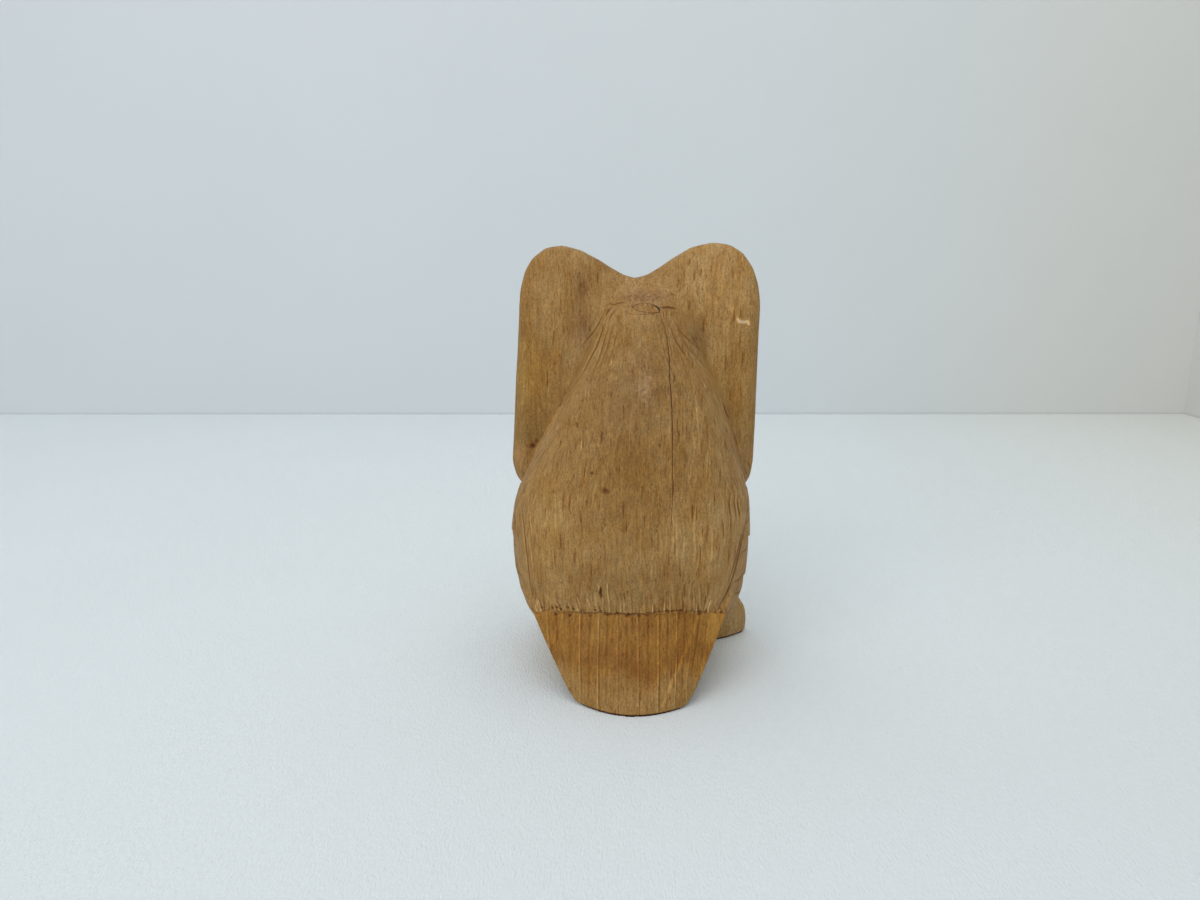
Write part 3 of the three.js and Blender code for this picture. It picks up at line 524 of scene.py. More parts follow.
def draw_side():
    """Shafts and barbs on the wings' three rows of feathers, and the marks of the knife on the flanks."""
    canvas = Canvas((-54, 54), (-2, 152))
    top, tip_height, front_y, rear_y, haunch = 66.0, 21.0, -22.0, 18.5, 49.0
    for row in range(3):
        share = (row + 1) / 3
        rear = np.array([rear_y, top + (tip_height - top) * share])
        front = np.array([front_y, top + (haunch - 4 - top) * share])
        corner = np.array([front_y * 0.6, top + (tip_height - 1 - top) * share])
        edge = bow(front, corner, rear, 200)
        run = np.concatenate([[0], np.cumsum(np.hypot(*np.diff(edge, axis=0).T))])
        run /= run[-1]
        for feather in range(5):
            start, middle, end, past = (
                np.array([np.interp(feather / 5 + at, run, values) for values in edge.T])
                for at in (0, 0.1, 0.2, 0.11)
            )
            along = (past - middle) / np.hypot(*(past - middle))
            outwards = np.array([along[1], -along[0]])
            if feather < 4:
                rim = bow(start, middle + outwards * 3.2, end, 9)
                canvas.stroke(rim + outwards * 0.9, 2.6, 0.4, 0, 0.5)
                canvas.stroke(rim + outwards * 0.2, 0.9, 0.5, 0.65, 0.2)
            root, tip = middle - outwards * 6.4, middle + outwards * 0.8
            # The shaft has a painted highlight along one side
            canvas.stroke([root, tip], 0.7, 0.3, 0.5, highlight_lip=0.2)
            for step in (0.25, 0.45, 0.65, 0.85):
                base = root + (tip - root) * step
                for sign in (-1, 1):
                    canvas.stroke([base, base + along * sign * 2.3 + outwards * 1.8], 0.55, 0.2, 0.35, 0.8)
    for line in FEATHER_ENDS:
        canvas.stroke(line, 0.85, 0.5, 0.7, 0.5)
    for _ in range(150):
        y, z = uniform(-30, 30), uniform(22, 70)
        canvas.stroke([(y, z), (y, z + uniform(1.5, 5))], 0.5, 0.05, uniform(0.1, 0.4))
    return canvas


# ---------------------------------------------------------------- the carved surface


def value_noise(points, cell, seed):
    """Smooth noise in -1..1 with the given wavelength on each axis."""
    lattice = np.random.default_rng(seed).uniform(-1, 1, (64, 64, 64))
    q = points / np.asarray(cell, float) + 1000
    base = np.floor(q).astype(int)
    f = q - base
    f = f * f * (3 - 2 * f)
    total = np.zeros(len(points))
    for corner in np.ndindex(2, 2, 2):
        i, j, k = ((base + corner) % 64).T
        total += np.prod(np.where(corner, f, 1 - f), axis=1) * lattice[i, j, k]
    return total


def crease_tree(node, keep=lambda place: True):
    """Places along the model's true edges: every hollow corner and every sharp outward one."""
    bm = bmesh.new()
    bm.from_mesh(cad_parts[node].data)
    bmesh.ops.remove_doubles(bm, verts=bm.verts, dist=1e-6)
    places = []
    low, high = CREASE_ANGLES
    for edge in bm.edges:
        if len(edge.link_faces) != 2 or low < math.degrees(edge.calc_face_angle_signed(0.0)) < high:
            continue
        a, b = edge.verts[0].co * 1000, edge.verts[1].co * 1000
        count = max(int((b - a).length / 0.5), 1)
        places += [p for p in (a.lerp(b, i / count) for i in range(count + 1)) if keep(p)]
    bm.free()
    tree = KDTree(len(places))
    for i, place in enumerate(places):
        tree.insert(place, i)
    tree.balance()
    return tree


def distances(tree, co):
    return np.array([tree.find(place)[2] for place in co])


def rows_of(items, name, width, kind=float):
    """An array with a row of the named values for each item."""
    values = np.empty(len(items) * width, kind)
    items.foreach_get(name, values)
    return values.reshape(-1, width)


def add(name, data):
    obj = bpy.data.objects.new(name, data)
    bpy.context.scene.collection.objects.link(obj)
    return obj


class Surface:
    """An even, dense copy of a CAD node's mesh that can be smoothed and carved."""

    def __init__(self, name, node, voxel):
        self.object = add(name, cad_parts[node].data.copy())
        remesh = self.object.modifiers.new("even", "REMESH")
        remesh.mode = "VOXEL"
        remesh.voxel_size = voxel / 1000
        evaluated = self.object.evaluated_get(bpy.context.evaluated_depsgraph_get())
        self.mesh = mesh = bpy.data.meshes.new_from_object(evaluated)
        self.object.modifiers.clear()
        self.object.data = mesh
        mesh.name = name
        mesh.materials.clear()
        self.co = rows_of(mesh.vertices, "co", 3) * 1000
        edges = rows_of(mesh.edges, "vertices", 2, int)
        ends = np.concatenate([edges, edges[:, ::-1]])
        start, other = ends[np.argsort(ends[:, 0], kind="stable")].T
        self.counts = counts = np.bincount(start, minlength=len(self.co))
        place = np.arange(len(start)) - np.repeat(np.cumsum(counts) - counts, counts)
        # Neighbours of each point, filled up with the point itself
        self.around = np.repeat(np.arange(len(self.co))[:, None], counts.max(), axis=1)
        self.around[start, place] = other

    def average(self, values, rows=slice(None)):
        """Mean of the neighbours' values."""
        around = self.around[rows]
        total = values[around[:, 0]].copy()
        for column in range(1, around.shape[1]):
            total += values[around[:, column]]
        counts = self.counts[rows].reshape((-1,) + (1,) * (values.ndim - 1))
        return (total - (around.shape[1] - counts) * values[rows]) / counts

    def spread(self, values, passes, weight=1.0, rows=slice(None)):
        """Smooths values, on the given rows only."""
        values = values.copy()
        for _ in range(passes):
            values[rows] += weight * (self.average(values, rows) - values[rows])
        return values

    def settle(self, passes, weight, last_passes):
        """Twice-through smoothing: takes the flats off and leaves the forms at their size."""
        smooth = self.spread(self.co, passes, weight)
        self.co = smooth + self.spread(self.co - smooth, passes, weight)
        self.co = self.spread(self.co, last_passes, 0.5)

    def write(self):
        self.mesh.vertices.foreach_set("co", (self.co / 1000).astype(np.float32).ravel())
        self.mesh.update()

    def normals(self):
        self.write()
        return rows_of(self.mesh.vertices, "normal", 3, np.float32).astype(float)

    def store(self, name, values):
        """Keeps a number or a colour for each point."""
        if values.ndim > 1:
            attribute = self.mesh.attributes.new(name, "FLOAT_COLOR", "POINT")
            rgba = np.concatenate([values, np.ones((len(values), 1))], axis=1)
            attribute.data.foreach_set("color", rgba.astype(np.float32).ravel())
        else:
            attribute = self.mesh.attributes.new(name, "FLOAT", "POINT")
            attribute.data.foreach_set("value", values.astype(np.float32))

    def finish(self, material):
        self.mesh.polygons.foreach_set("use_smooth", np.ones(len(self.mesh.polygons), bool))
        self.write()
        self.mesh.materials.append(material)
        return self.object


def valley_softness(co):
    """The nape runs softly into the flaps at the top, and less so further down, least on the left."""
    behind = crease_tree(
        "carved_block", lambda p: p.y > -8 and p.z > 74 and abs(p.x) < 42 and (p - KNOT).length > 8
    )
    rows = np.flatnonzero((co[:, 1] > -9) & (co[:, 2] > 66))
    x, _, z = co[rows].T
    height = np.where(x > 0, ramp(z, 92, 114), 0.15 + 0.85 * ramp(z, 72, 98))
    knot = ramp(np.linalg.norm(co[rows] - np.array(KNOT), axis=1), 7, 10)
    softness = height * knot * (1 - ramp(distances(behind, co[rows]), 5, 13))
    return rows[softness > 0], softness[softness > 0]


def firmness(co):
    """Share of the smoothing that a place takes: little on the face and the toes, whose forms are small."""
    _, y, z = co.T
    face = ramp(-y, 18, 23) * ramp(z, 60, 66)
    toes = ramp(-y, 28, 34) * (1 - ramp(z, 18, 24))
    return 1 - FINE_FORMS * np.maximum(face, toes)


def carve_block():
    block = Surface("carved_wood", "carved_block", VOXEL)
    distance = distances(crease_tree("carved_block"), block.co)
    weight = (0.003 + 0.997 * (ramp(distance, 0.2, CREASE_KEEP) * firmness(block.co)))[:, None]
    block.settle(SMOOTH_PASSES, weight, 3)
    rows, softness = valley_softness(block.co)
    block.co = block.spread(block.co, VALLEY_PASSES, softness[:, None], rows)

    normal = block.normals()
    x, y, z = block.co.T
    # The knife leaves long shallow flats and soft dips
    facets = value_noise(block.co, (9, 9, 17), 11) * 0.16 + value_noise(block.co, (4.2, 4.2, 9), 12) * 0.07
    fibre = value_noise(block.co, (0.8, 0.8, 9), 13) * 0.03
    lift = facets * ramp(distance, 0.5, 4) + fibre

    dark, pale = np.zeros(len(x)), np.zeros(len(x))
    views = (
        (draw_back(), x, z, ramp(normal[:, 1], 0.08, 0.3)),
        (draw_front(), x, z, ramp(-normal[:, 1], 0.15, 0.4) * (y < -8) * (z > 19)),
        (draw_side(), y, z, ramp(np.abs(normal[:, 0]), 0.55, 0.8) * (np.abs(x) > 30) * (z < 71)),
        (draw_top(), x, y, ramp(normal[:, 2], -0.1, 0.3) * (z < 14) * (y < -30)),
    )
    for canvas, u, v, facing in views:
        cut, shade, light = canvas.sample(u, v) * facing
        lift = lift - cut
        dark, pale = np.maximum(dark, shade), np.maximum(pale, light)
    block.co = block.co + normal * lift[:, None]
    # The lower edge is broken all round, so a fine shadow lies under it
    low = 1 - ramp(z, 0, UNDERCUT)
    block.co[:, :2] -= UNDERCUT * low[:, None] * normal[:, :2]
    # Painted shade: the lowest 0.9 mm is darkened all round, as a contact line under the edge
    dark = np.maximum(dark, 1.2 * (1 - ramp(z, 0.2, 0.9)))
    block.co[:, 2] = np.where(z < 0.4, np.maximum(block.co[:, 2], 0), block.co[:, 2])

    # Hollows are darkened by how far the surface bends in, and outward edges are rubbed pale
    normal = block.normals()
    bend = np.einsum("ij,ij->i", block.average(block.co) - block.co, normal)
    bend = block.spread(bend, 4)
    for name, values in (
        ("hollow", np.clip(bend * 26, 0, 1)), ("worn", np.clip(-bend * 20, 0, 1)),
        ("dark", dark), ("pale", pale), ("tint", tint(block.co, normal)), ("flecked", flecked(block.co)),
        ("tail", on_tail(block.co)), ("lane", tail_lane(block.co)),
    ):
        block.store(name, values)
    return block.finish(wood_material("oiled hardwood"))


def flecked(co):
    """Share of the grain's cells that carry a mark: most on the plumage's flanks, few on the head."""
    x, y, z = co.T
    left, right = border(1, z), border(-1, z)
    across = np.abs(2 * (x - right) / (left - right) - 1)
    plumage = (0.3 + 0.7 * ramp(across, 0.1, 0.7)) * (1 - 0.6 * ramp(z, 92, 112))
    return np.where((y > 4) & (across < 1) & (z > hem_at(x)), plumage, 0.3 - 0.14 * ramp(z, 112, 124))


def on_tail(co):
    x, y, z = co.T
    return ramp(hem_at(x) - z, -0.3, 0.8) * ramp(y, 16, 22)


def tail_lane(co):
    """Count of tail grooves passed on the way from +X, with a fraction between two of them."""
    x, _, z = co.T
    lanes = np.full(len(co), -0.5)
    previous = np.full(len(co), TAIL_START)
    for groove in TAIL_GROOVES:
        xs, heights = zip(*groove[::-1])
        line = np.interp(z, heights, xs)
        lanes = np.where(x < previous, lanes + np.clip((previous - x) / (previous - line), 0, 1), lanes)
        previous = line
    return lanes + np.clip((previous - x) / LANE_WIDTH, 0, 0.5)


def tint(co, normal):
    """Broad changes of tone: multipliers of the wood's colour."""
    x, y, z = co.T
    tone = np.ones((len(co), 3))

    def wash(amount, colour):
        nonlocal tone
        tone = tone * (1 + amount[:, None] * (np.array(colour) - 1))

    tail = on_tail(co)
    boundary = 10.0 + 1.6 * np.sin(x * 0.33 + 0.8) + 0.8 * np.sin(x * 0.9)
    stain = tail * ramp(z, boundary - 3.5, boundary + 4)
    wash(stain, (0.9, 0.73, 0.34))
    wash(stain * np.exp(-((z - 15 - 2 * np.sin(x * 0.2)) / 4) ** 2), (0.86, 0.8, 0.68))
    wash(tail - stain, (0.94, 0.91, 0.82))
    # Painted highlight along the plumage's knife-cut left edge, strongest where the face turns to the back
    rim = np.exp(-(((x - border(1, z) + 1.0) / 1.1) ** 2)) * ramp(z, 66, 74) * (1 - ramp(z, 98, 108))
    wash(rim * ramp(normal[:, 1], 0.3, 0.6), (1.06, 1.02, 0.94))
    for centre, radii, colour in TONES:
        wash(np.exp(-(((co - centre) / radii) ** 2).sum(1)), colour)
    broad = value_noise(co, (13, 13, 24), 21)
    wash(np.clip(broad, 0, 1) * 0.6, (0.9, 0.85, 0.76))
    wash(np.clip(-broad, 0, 1) * 0.6, (1.08, 1.1, 1.14))
    return np.clip(tone, 0, 2.5)


# ---------------------------------------------------------------- materials


def arithmetic(operation):
    return lambda wire, other=0.0: wire.graph.math(operation, wire, other)


class Wire:
    """An output in a material's node tree; arithmetic on it adds Math nodes."""

    def __init__(self, graph, socket):
        self.graph, self.socket = graph, socket

    __add__, __sub__, __mul__ = (arithmetic(name) for name in ("ADD", "SUBTRACT", "MULTIPLY"))
    __truediv__, __abs__ = arithmetic("DIVIDE"), arithmetic("ABSOLUTE")
    __gt__, __lt__ = arithmetic("GREATER_THAN"), arithmetic("LESS_THAN")


class Graph:
    """A material's node tree, built by calls."""

    def __init__(self, name):
        self.material = bpy.data.materials.new(name)
        self.material.use_nodes = True
        self.tree = self.material.node_tree
        self.tree.nodes.clear()
        # Object space in millimetres
        place = self.out("TexCoord", output="Object")
        self.place = self.out("VectorMath", {0: place, "Scale": 1000}, operation="SCALE")

    def node(self, kind, sockets=None, **settings):
        made = self.tree.nodes.new("ShaderNode" + kind)
        for key, value in settings.items():
            setattr(made, key, value)
        for key, value in (sockets or {}).items():
            self.feed(made.inputs[key], value)
        return made

    def out(self, kind, sockets=None, output=0, **settings):
        return Wire(self, self.node(kind, sockets, **settings).outputs[output])

    def feed(self, socket, value):
        if isinstance(value, Wire):
            self.tree.links.new(value.socket, socket)
        elif isinstance(value, tuple) and len(value) == 3 and socket.type == "RGBA":
            socket.default_value = (*value, 1)
        else:
            socket.default_value = value

    def parts(self, value, kind="SeparateXYZ"):
        return [Wire(self, socket) for socket in self.node(kind, {0: value}).outputs]

    def vector(self, operation, a, b):
        return self.out("VectorMath", {0: a, 1: b}, operation=operation)

    def math(self, operation, a, b=0.0):
        return self.out("Math", {0: a, 1: b}, operation=operation)

    def noise(self, place, scale, detail=2.0, rough=0.5):
        """Noise in 0..1; scale is a number or features per millimetre on each axis."""
        if isinstance(scale, tuple):
            place, scale = self.vector("MULTIPLY", place, scale), 1.0
        sockets = {"Vector": place, "Scale": scale, "Detail": detail, "Roughness": rough}
        return self.out("TexNoise", sockets, "Fac")

    def band(self, value, low, high, to_low=0.0, to_high=1.0):
        sockets = {"Value": value, "From Min": low, "From Max": high, "To Min": to_low, "To Max": to_high}
        return self.out("MapRange", sockets, "Result", interpolation_type="SMOOTHSTEP")

    def mix(self, share, a, b, blend="MIX"):
        return self.out("Mix", {0: share, 6: a, 7: b}, 2, data_type="RGBA", blend_type=blend)

    def times(self, base, colour):
        return self.mix(1.0, base, colour, "MULTIPLY")

    def tone(self, base, share, colour):
        """Base, with a share of it multiplied by colour."""
        return self.mix(share, base, self.times(base, colour))

    def attribute(self, name, output="Fac"):
        return self.out("Attribute", output=output, attribute_name=name)

    def cells(self, sockets, **settings):
        """A cell pattern: distance from each cell's middle, and the cell's own random numbers."""
        outputs = self.node("TexVoronoi", {**sockets, "Scale": 1.0}, **settings).outputs
        pick = self.parts(Wire(self, outputs["Color"]), "SeparateColor")
        return Wire(self, outputs["Distance"]), pick

    def flecks(self, place, scale, radius, share, soft=0.45):
        """Short marks along the grain: stretched cells, of which only a share carries a mark."""
        distance, pick = self.cells({"Vector": self.vector("MULTIPLY", place, scale)})
        shape = self.band(distance, radius * soft, radius, 1.0, 0.0)
        return shape * ((pick[0] < share) * self.band(pick[1], 0, 1, 0.45, 1.0))

    def grained(self, pattern, place, scale, *settings):
        """A pattern along Z that hardly changes with depth, whichever way a face looks."""
        x, y, z = scale
        normal = self.parts(self.out("TexCoord", output="Normal"))[0]
        side = self.band(abs(normal), 0.55, 0.8)
        behind = pattern(place, (x, y * 0.28, z), *settings)
        beside = pattern(place, (x * 0.28, y, z), *settings)
        return self.out("Mix", {0: side, 2: behind, 3: beside}, data_type="FLOAT")

    def finish(self, colour, roughness, bump, bump_distance, specular):
        height = self.out("Bump", {"Height": bump, "Strength": 1.0, "Distance": bump_distance / 1000})
        sockets = {"Base Color": colour, "Roughness": roughness, "Normal": height}
        sockets["Specular IOR Level"] = specular
        self.node("OutputMaterial", {"Surface": self.out("BsdfPrincipled", sockets)})
        return self.material


def hem_strokes(g):
    """Fine pale strokes that rise from the plumage's hem, and the shade beside each."""
    x, y, z = g.parts(g.place)
    rise = z - (x * x * -0.0038 + x * -0.02 + 29.8)
    lean = g.band(x, 5, 16, 0.05, 0.34) + g.band(x, -30, -22, -0.27, 0.0)
    foot = x - lean * rise + g.noise(g.place, (0.3, 0.0, 0.25), 2) * 0.9
    reach = g.band(abs(x), 9, 20, 1.0, 0.5)
    masks = []
    for shift, width in ((0.0, 0.13), (0.55, 0.18)):
        distance, pick = g.cells({"W": (foot + shift) * 0.46}, voronoi_dimensions="1D")
        length = g.band(pick[0], 0, 1, 2.5, 13.5) * reach
        line = g.band(distance, width * 0.4, width, 1.0, 0.0)
        ends = g.band(rise, 0.2, 1.0) * g.band(rise - length, -2.5, 0, 1.0, 0.0)
        masks.append(line * ends * (g.band(pick[1], 0, 0.7, 0.45, 1.0) * (y > 14)))
    return masks


def tail_lines(g):
    """The bright flank and the shade of each V-cut in the tail; "lane" is a whole number along a cut."""
    lane = g.attribute("lane")
    number = g.math("FLOOR", lane + 0.5)
    offset = (lane - number) * LANE_WIDTH
    pick = g.parts(g.out("TexWhiteNoise", {"W": number}, "Color", noise_dimensions="1D"), "SeparateColor")
    worn = g.band(g.noise(g.place, (0.5, 0.0, 0.22), 3), 0.3, 0.6, 0.35, 1.0)
    strength = g.band(pick[0], 0, 1, 0.45, 1.0) * worn * g.attribute("tail")
    ridge = g.band(abs(offset), 0.12, 0.4, 1.0, 0.0)
    cleft = g.band(abs(offset - 0.5), 0.1, 0.4, 1.0, 0.0)
    return ridge * (strength * 0.6), cleft * strength


def crack_mask(g):
    """The drying crack: within a fine width of a curve that gives x over z."""
    x, y, z = g.parts(g.place)
    low, high = CRACK[-1][1], CRACK[0][1]
    left, right = -16.0, -8.0
    node = g.node("FloatCurve", {"Value": (z - low) / (high - low)})
    curve = node.mapping.curves[0]
    points = [((v - low) / (high - low), (u - left) / (right - left)) for u, v in reversed(CRACK)]
    first, *points, last = points
    curve.points[0].location, curve.points[1].location = first, last
    for point in points:
        curve.points.new(*point)
    node.mapping.update()
    wobble = (g.noise(g.place, (0.0, 0.0, 0.6), 3, 0.6) - 0.5) * 0.7
    line = Wire(g, node.outputs[0]) * (right - left) + left + wobble
    opening = g.band(z, 56, 98, 0.05, 0.16) * g.band(z, 112, 126, 1.0, 0.35)
    inside = g.band(abs(x - line) / opening, 0.6, 1.4, 1.0, 0.0)
    return inside * (g.band(z, 55, 62) * g.band(z, 126, 128, 1.0, 0.0)) * (y > 0.0)


def linear(r, g, b):
    """Scene colour of an sRGB colour in 0..255."""
    return tuple(((c / 255 + 0.055) / 1.055) ** 2.4 if c > 10 else c / 255 / 12.92 for c in (r, g, b))


def wood_material(name, figure=None):
    g = Graph(name)
    wander = g.noise(g.place, (0.05, 0.05, 0.02), 2)
    sway = g.vector("MULTIPLY", g.out("CombineXYZ", {0: wander, 1: wander}), (5.0, 5.0, 0.0))
    grain = g.vector("ADD", g.place, sway)
    fibre = g.grained(g.noise, grain, (1.5, 1.5, 0.2), 3, 0.7)
    grit = g.grained(g.noise, g.place, (1.9, 3.6, 1.3), 2, 0.75)
    streak = g.grained(g.noise, grain, (0.55, 0.55, 0.03), 3, 0.6)
    mottle = g.noise(g.place, (0.14, 0.14, 0.09), 4, 0.65)
    blotch = g.noise(g.place, (0.35, 0.35, 0.2), 3, 0.65)

    # Growth rings round a pith that lies before the chest
    across = g.vector("MULTIPLY", g.vector("ADD", grain, (-7.0, 42.0, 0.0)), (1.0, 1.0, 0.03))
    radius = g.out("VectorMath", {0: across}, "Value", operation="LENGTH")
    ring = g.math("SINE", radius * 1.9)

    base = g.mix(g.band(mottle, 0.33, 0.68), linear(157, 117, 60), linear(169, 133, 80))
    base = g.tone(base, g.band(streak, 0.4, 0.7, 0, 0.75), (0.9, 0.81, 0.64))
    base = g.tone(base, g.band(blotch, 0.5, 0.72, 0, 0.3), (0.93, 0.82, 0.6))
    light = g.band(fibre, 0.28, 0.72, 0.81, 1.19) * g.band(grit, 0.28, 0.72, 0.78, 1.22) + ring * 0.02
    base = g.times(base, g.out("CombineColor", {0: light, 1: light, 2: light}))
    flecked_share = g.attribute("flecked")
    crowd = flecked_share * g.band(g.noise(g.place, 0.14, 2), 0.35, 0.65, 0.2, 1.0)
    dashes = g.grained(g.flecks, grain, (0.95, 0.95, 0.08), 0.33, crowd, 0.6)
    pores = g.grained(g.flecks, grain, (1.7, 1.7, 0.35), 0.34, 0.5)
    shavings = g.grained(g.flecks, grain, (0.8, 0.8, 0.045), 0.19, flecked_share * 0.15, 0.6)
    base = g.tone(base, dashes, (0.67, 0.46, 0.21))
    base = g.tone(base, pores, (0.72, 0.6, 0.45))
    base = g.tone(base, shavings, (1.8, 2.0, 2.5))

    base = g.times(base, g.attribute("tint", "Color"))
    worn = g.attribute("worn") * g.band(fibre, 0.3, 0.7, 0.3, 1.0)
    base = g.tone(base, worn * 0.35, (1.35, 1.38, 1.4))
    stroke, shade = hem_strokes(g)
    base = g.tone(base, shade * 0.6, (0.66, 0.55, 0.42))
    scrapes_and_highlights = g.attribute("pale")
    ridge, cleft = tail_lines(g)
    base = g.tone(base, cleft, (0.6, 0.5, 0.4))
    # Pale marks: scrapes and pale cuts, with the painted highlights beside cuts, along the plumage's edges
    # and on the tail's V-cut flanks
    pale = g.math("MAXIMUM", g.math("MAXIMUM", scrapes_and_highlights, ridge), stroke) * g.band(grit, 0.3, 0.7, 1.0, 0.7)
    base = g.tone(base, pale * 0.9, (2.0, 2.25, 2.8))
    base = g.mix(g.band(scrapes_and_highlights, 1.1, 1.8, 0, 0.85), base, linear(214, 195, 172))
    base = g.tone(base, g.attribute("hollow") * 0.5, (0.55, 0.46, 0.36))
    # Dark marks: the cuts' and dashes' dark, with painted shade along the bottom edge, the tail's left rim
    # and beside some cuts
    dark = g.attribute("dark") * g.band(fibre, 0.2, 0.8, 0.75, 1.0)
    base = g.tone(base, g.band(dark, 0, 0.6), (0.6, 0.44, 0.27))
    base = g.tone(base, g.band(dark, 0.6, 1.0), (0.3, 0.25, 0.2))
    base = g.mix(crack_mask(g), base, linear(80, 40, 7))
    if figure:
        base = figure(g, base)
    relief = fibre + grit * 0.8 - (pores + dashes)
    return g.finish(base, g.band(blotch, 0.3, 0.7, 0.58, 0.72), relief, 0.1, 0.32)


def knot_figure(g, base):
    """The knot's heart, ringed by a line of bark that is thick and black at its right end."""
    depth = g.attribute("heart") + (g.noise(g.place, 0.9, 3) - 0.5) * 0.4
    black = g.attribute("bark")
    rim = g.band(abs(depth) / g.band(black, 0, 1, 0.2, 0.65), 0.4, 1.1, 1.0, 0.0)
    rings = g.band(g.math("SINE", depth * 9.0), -1, 1)
    heart = g.mix(rings, g.times(base, (0.88, 0.8, 0.7)), g.times(base, (1.04, 1.0, 0.92)))
    base = g.mix(g.band(depth, -0.1, 0.15, 0.0, 0.8), base, heart)
    dark = g.mix(black, g.times(base, (0.42, 0.3, 0.2)), linear(40, 22, 8))
    return g.mix(rim * g.band(g.noise(g.place, 1.2, 2), 0.3, 0.6, 0.7, 1.0), base, dark)


def store_heart(piece):
    """Depth inside the knot's heart, in mm, and where its bark is black."""
    x, y, z = piece.co.T
    across = (y - KNOT.y) * -math.sin(PLUG_TILT) + (z - KNOT.z) * math.cos(PLUG_TILT)
    outline = np.array(KNOT_HEART + KNOT_HEART[:1])
    nearest = np.full(len(x), 1e9)
    inside = np.zeros(len(x), bool)
    for start, end in zip(outline[:-1], outline[1:]):
        step = end - start
        t = np.clip(((x - start[0]) * step[0] + (across - start[1]) * step[1]) / (step @ step), 0, 1)
        nearest = np.minimum(nearest, np.hypot(x - start[0] - t * step[0], across - start[1] - t * step[1]))
        crosses = (start[1] > across) != (end[1] > across)
        inside ^= crosses & (x < start[0] + (across - start[1]) / step[1] * step[0])
    piece.store("heart", np.where(inside, nearest, -nearest))
    piece.store("bark", ramp(-x, 6.2, 7.8) * ramp(across, -0.9, -0.3))


def iris_material():
    g = Graph("pale inlay wood")
    fibre = g.noise(g.place, (2.2, 2.2, 0.25), 4, 0.6)
    tone = g.noise(g.place, 0.22, 3, 0.6)
    base = g.mix(g.band(fibre, 0.3, 0.72), linear(208, 170, 108), linear(188, 145, 84))
    base = g.mix(g.band(tone, 0.5, 0.8, 0, 0.5), base, linear(176, 128, 66))
    return g.finish(base, g.band(tone, 0.3, 0.7, 0.36, 0.5), fibre, 0.04, 0.45)


def pupil_material():
    g = Graph("dark inlay wood")
    fibre = g.noise(g.place, (1.6, 1.6, 0.3), 4, 0.6)
    base = g.mix(g.band(fibre, 0.35, 0.7), linear(26, 18, 13), linear(46, 30, 20))
    return g.finish(base, g.band(fibre, 0.3, 0.7, 0.24, 0.36), fibre, 0.03, 0.5)


def paint_material(name, colour, grain, distance):
    """Matt painted board or sheet with a faint tooth, with a painted warm cast of reflected light towards -X
    and painted shade at the wall's foot.
    """
    g = Graph(name)
    tooth = g.noise(g.place, grain, 4, 0.6)
    base = g.mix(g.band(g.noise(g.place, 0.006, 2), 0.3, 0.7), colour, tuple(c * 0.985 for c in colour))
    x, _, z = g.parts(g.place)
    # Painted reflected light: a warm cast towards -X
    base = g.tone(base, g.band(x, -60, -460), (0.99, 0.945, 0.885))
    # Painted shade along the lowest 2.6 mm of the wall, where it meets the floor
    foot = (z > 0.1) * g.band(z, 1.0, 2.6, 1.0, 0.0)
    base = g.tone(base, foot * 0.3, (0.6, 0.62, 0.64))
    return g.finish(base, g.band(tooth, 0.3, 0.7, 0.6, 0.75), tooth, distance, 0.3)


# ---------------------------------------------------------------- pieces

block = carve_block()
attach(block, "root")
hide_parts("carved_block")


def let_in(name, node, voxel, material, passes, swell=0.0):
    """A small inlaid piece, smoothed and kept in its seat; swell closes the seam round it."""
    piece = Surface(name, node, voxel)
    distance = distances(crease_tree(node), piece.co)
    piece.settle(passes, (0.05 + 0.95 * ramp(distance, 0.1, 0.6))[:, None], 2)
    normal = piece.normals()
    sideways = normal - (normal @ PLUG_AXIS)[:, None] * PLUG_AXIS
    piece.co = piece.co + swell * sideways
    if swell:
        piece.store("tint", tint(piece.co, normal))
        piece.store("flecked", flecked(piece.co))
        for mark in ("hollow", "worn", "dark", "pale", "tail"):
            piece.store(mark, np.zeros(len(piece.co)))
        piece.store("lane", np.full(len(piece.co), 0.5))
        store_heart(piece)
    piece.finish(material)
    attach(piece.object, "root")
    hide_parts(node)


knot_wood = wood_material("knot wood", knot_figure)
let_in("knot_plug", "nape_knot", KNOT_VOXEL, knot_wood, 12, swell=KNOT_SWELL)
pale_wood = iris_material()
dark_wood = pupil_material()
for side in ("left", "right"):
    let_in(f"{side}_iris_ring", f"{side}_iris", EYE_VOXEL, pale_wood, 30)
    let_in(f"{side}_pupil_disc", f"{side}_pupil", EYE_VOXEL, dark_wood, 30)


# ---------------------------------------------------------------- stage, light and camera, in metres

LENS = 28.26
CAMERA = Vector((-13.94, 323.88, 153.0)) / 1000
FORWARD = Vector((0.0764, -0.9714, -0.225))
HEADING = math.radians(4.5)  # the back wall is turned this far from the camera's
WALL = 0.80  # how far the back wall's corner stands ahead of the camera
SIDE = 0.505  # how far the side wall stands to its right
HEIGHT = 1.1
REACH = 2.0  # how far the floor runs to either side


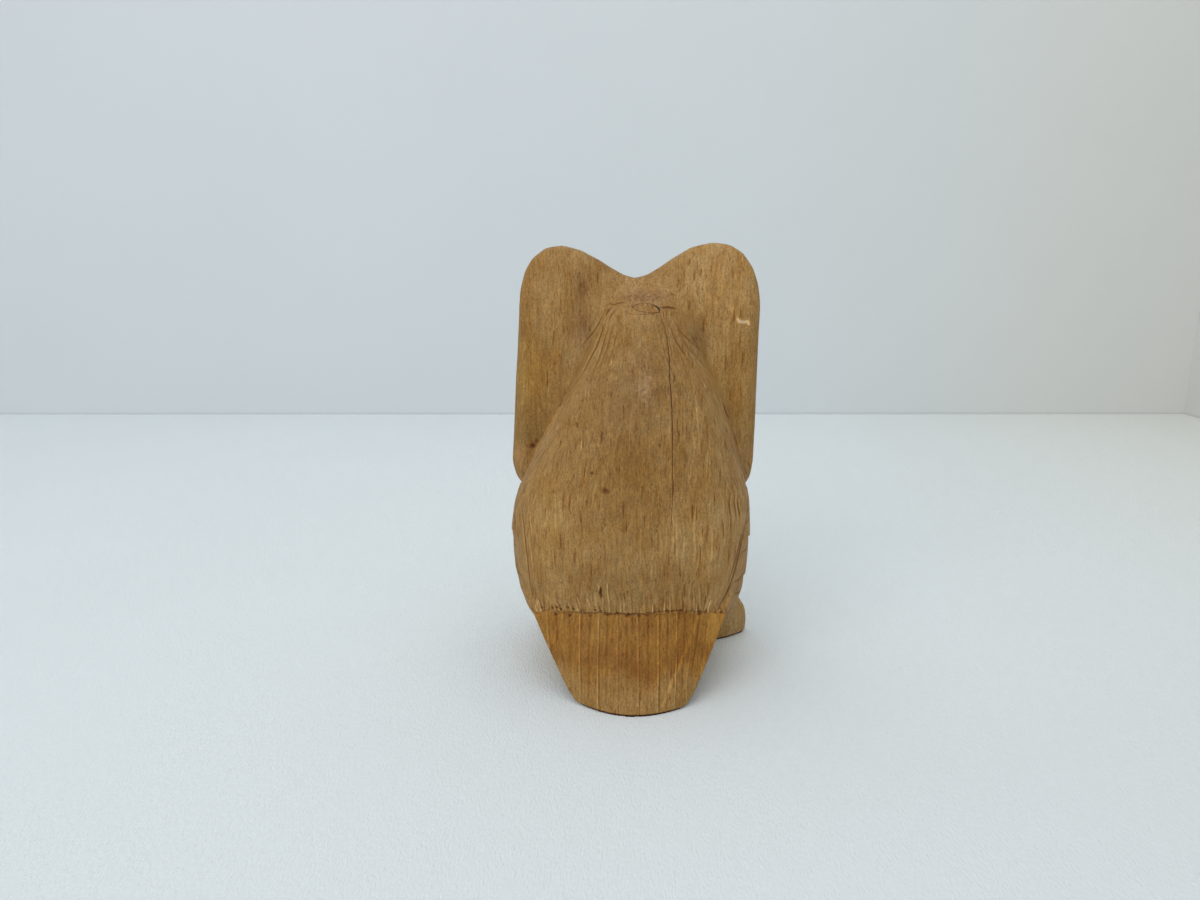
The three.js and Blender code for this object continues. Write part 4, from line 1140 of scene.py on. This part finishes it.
def sheet(name, corners, material):
    """A flat sheet; each corner is metres ahead of the camera, metres to its right, and a height."""
    c, s = math.cos(HEADING), math.sin(HEADING)
    places = [
        (CAMERA.x + ahead * s - right * c, CAMERA.y - ahead * c - right * s, height)
        for ahead, right, height in corners
    ]
    mesh = bpy.data.meshes.new(name)
    mesh.from_pydata(places, [], [(0, 1, 2, 3)])
    obj = add(name, mesh)
    mesh.materials.append(material)


def wall(name, start, end):
    sheet(name, [(*start, 0), (*end, 0), (*end, HEIGHT), (*start, HEIGHT)], wall_paint)


floor_paint = paint_material("matt white sheet", (0.86, 0.91, 0.92), (1.6, 0.55, 0.6), 0.5)
wall_paint = paint_material("matt white board", (0.762, 0.8, 0.815), (0.8, 0.8, 0.8), 0.04)
sheet("floor", [(WALL, -REACH, 0), (WALL, REACH, 0), (-1.6, REACH, 0), (-1.6, -REACH, 0)], floor_paint)
wall("back_wall", (WALL - 0.004, -REACH), (WALL, SIDE))
wall("side_wall", (WALL, SIDE), (0.35, SIDE + 0.02))


def stand(name, data, place, direction):
    """A light or a camera at a place, looking along a direction."""
    obj = add(name, data)
    obj.location = place
    obj.rotation_mode = "QUATERNION"
    obj.rotation_quaternion = direction.to_track_quat("-Z", "Y")
    return obj


def softbox(name, place, aim, size, power, colour):
    data = bpy.data.lights.new(name, "AREA")
    data.shape = "RECTANGLE"
    data.size, data.size_y = size
    data.energy = power
    data.color = colour
    stand(name, data, place, Vector(aim) - Vector(place))


softbox("overhead", (0.05, 0.15, 1.15), (0, -0.02, 0.03), (1.5, 1.3), 6.0, (0.98, 1.0, 1.0))
softbox("front_fill", (0.55, 1.15, 0.75), (0, 0, 0.07), (1.0, 0.9), 6.2, (1.0, 0.99, 0.97))

world = bpy.data.worlds.new("room")
world.use_nodes = True
background = world.node_tree.nodes["Background"]
background.inputs["Color"].default_value = (0.86, 0.92, 1.0, 1)
background.inputs["Strength"].default_value = 0.38
scene = bpy.context.scene
scene.world = world
scene.view_settings.view_transform = "Standard"

camera_data = bpy.data.cameras.new("camera")
camera_data.sensor_width = 36
camera_data.lens = LENS
camera_data.clip_start = 0.01
scene.camera = stand("camera", camera_data, CAMERA, FORWARD)
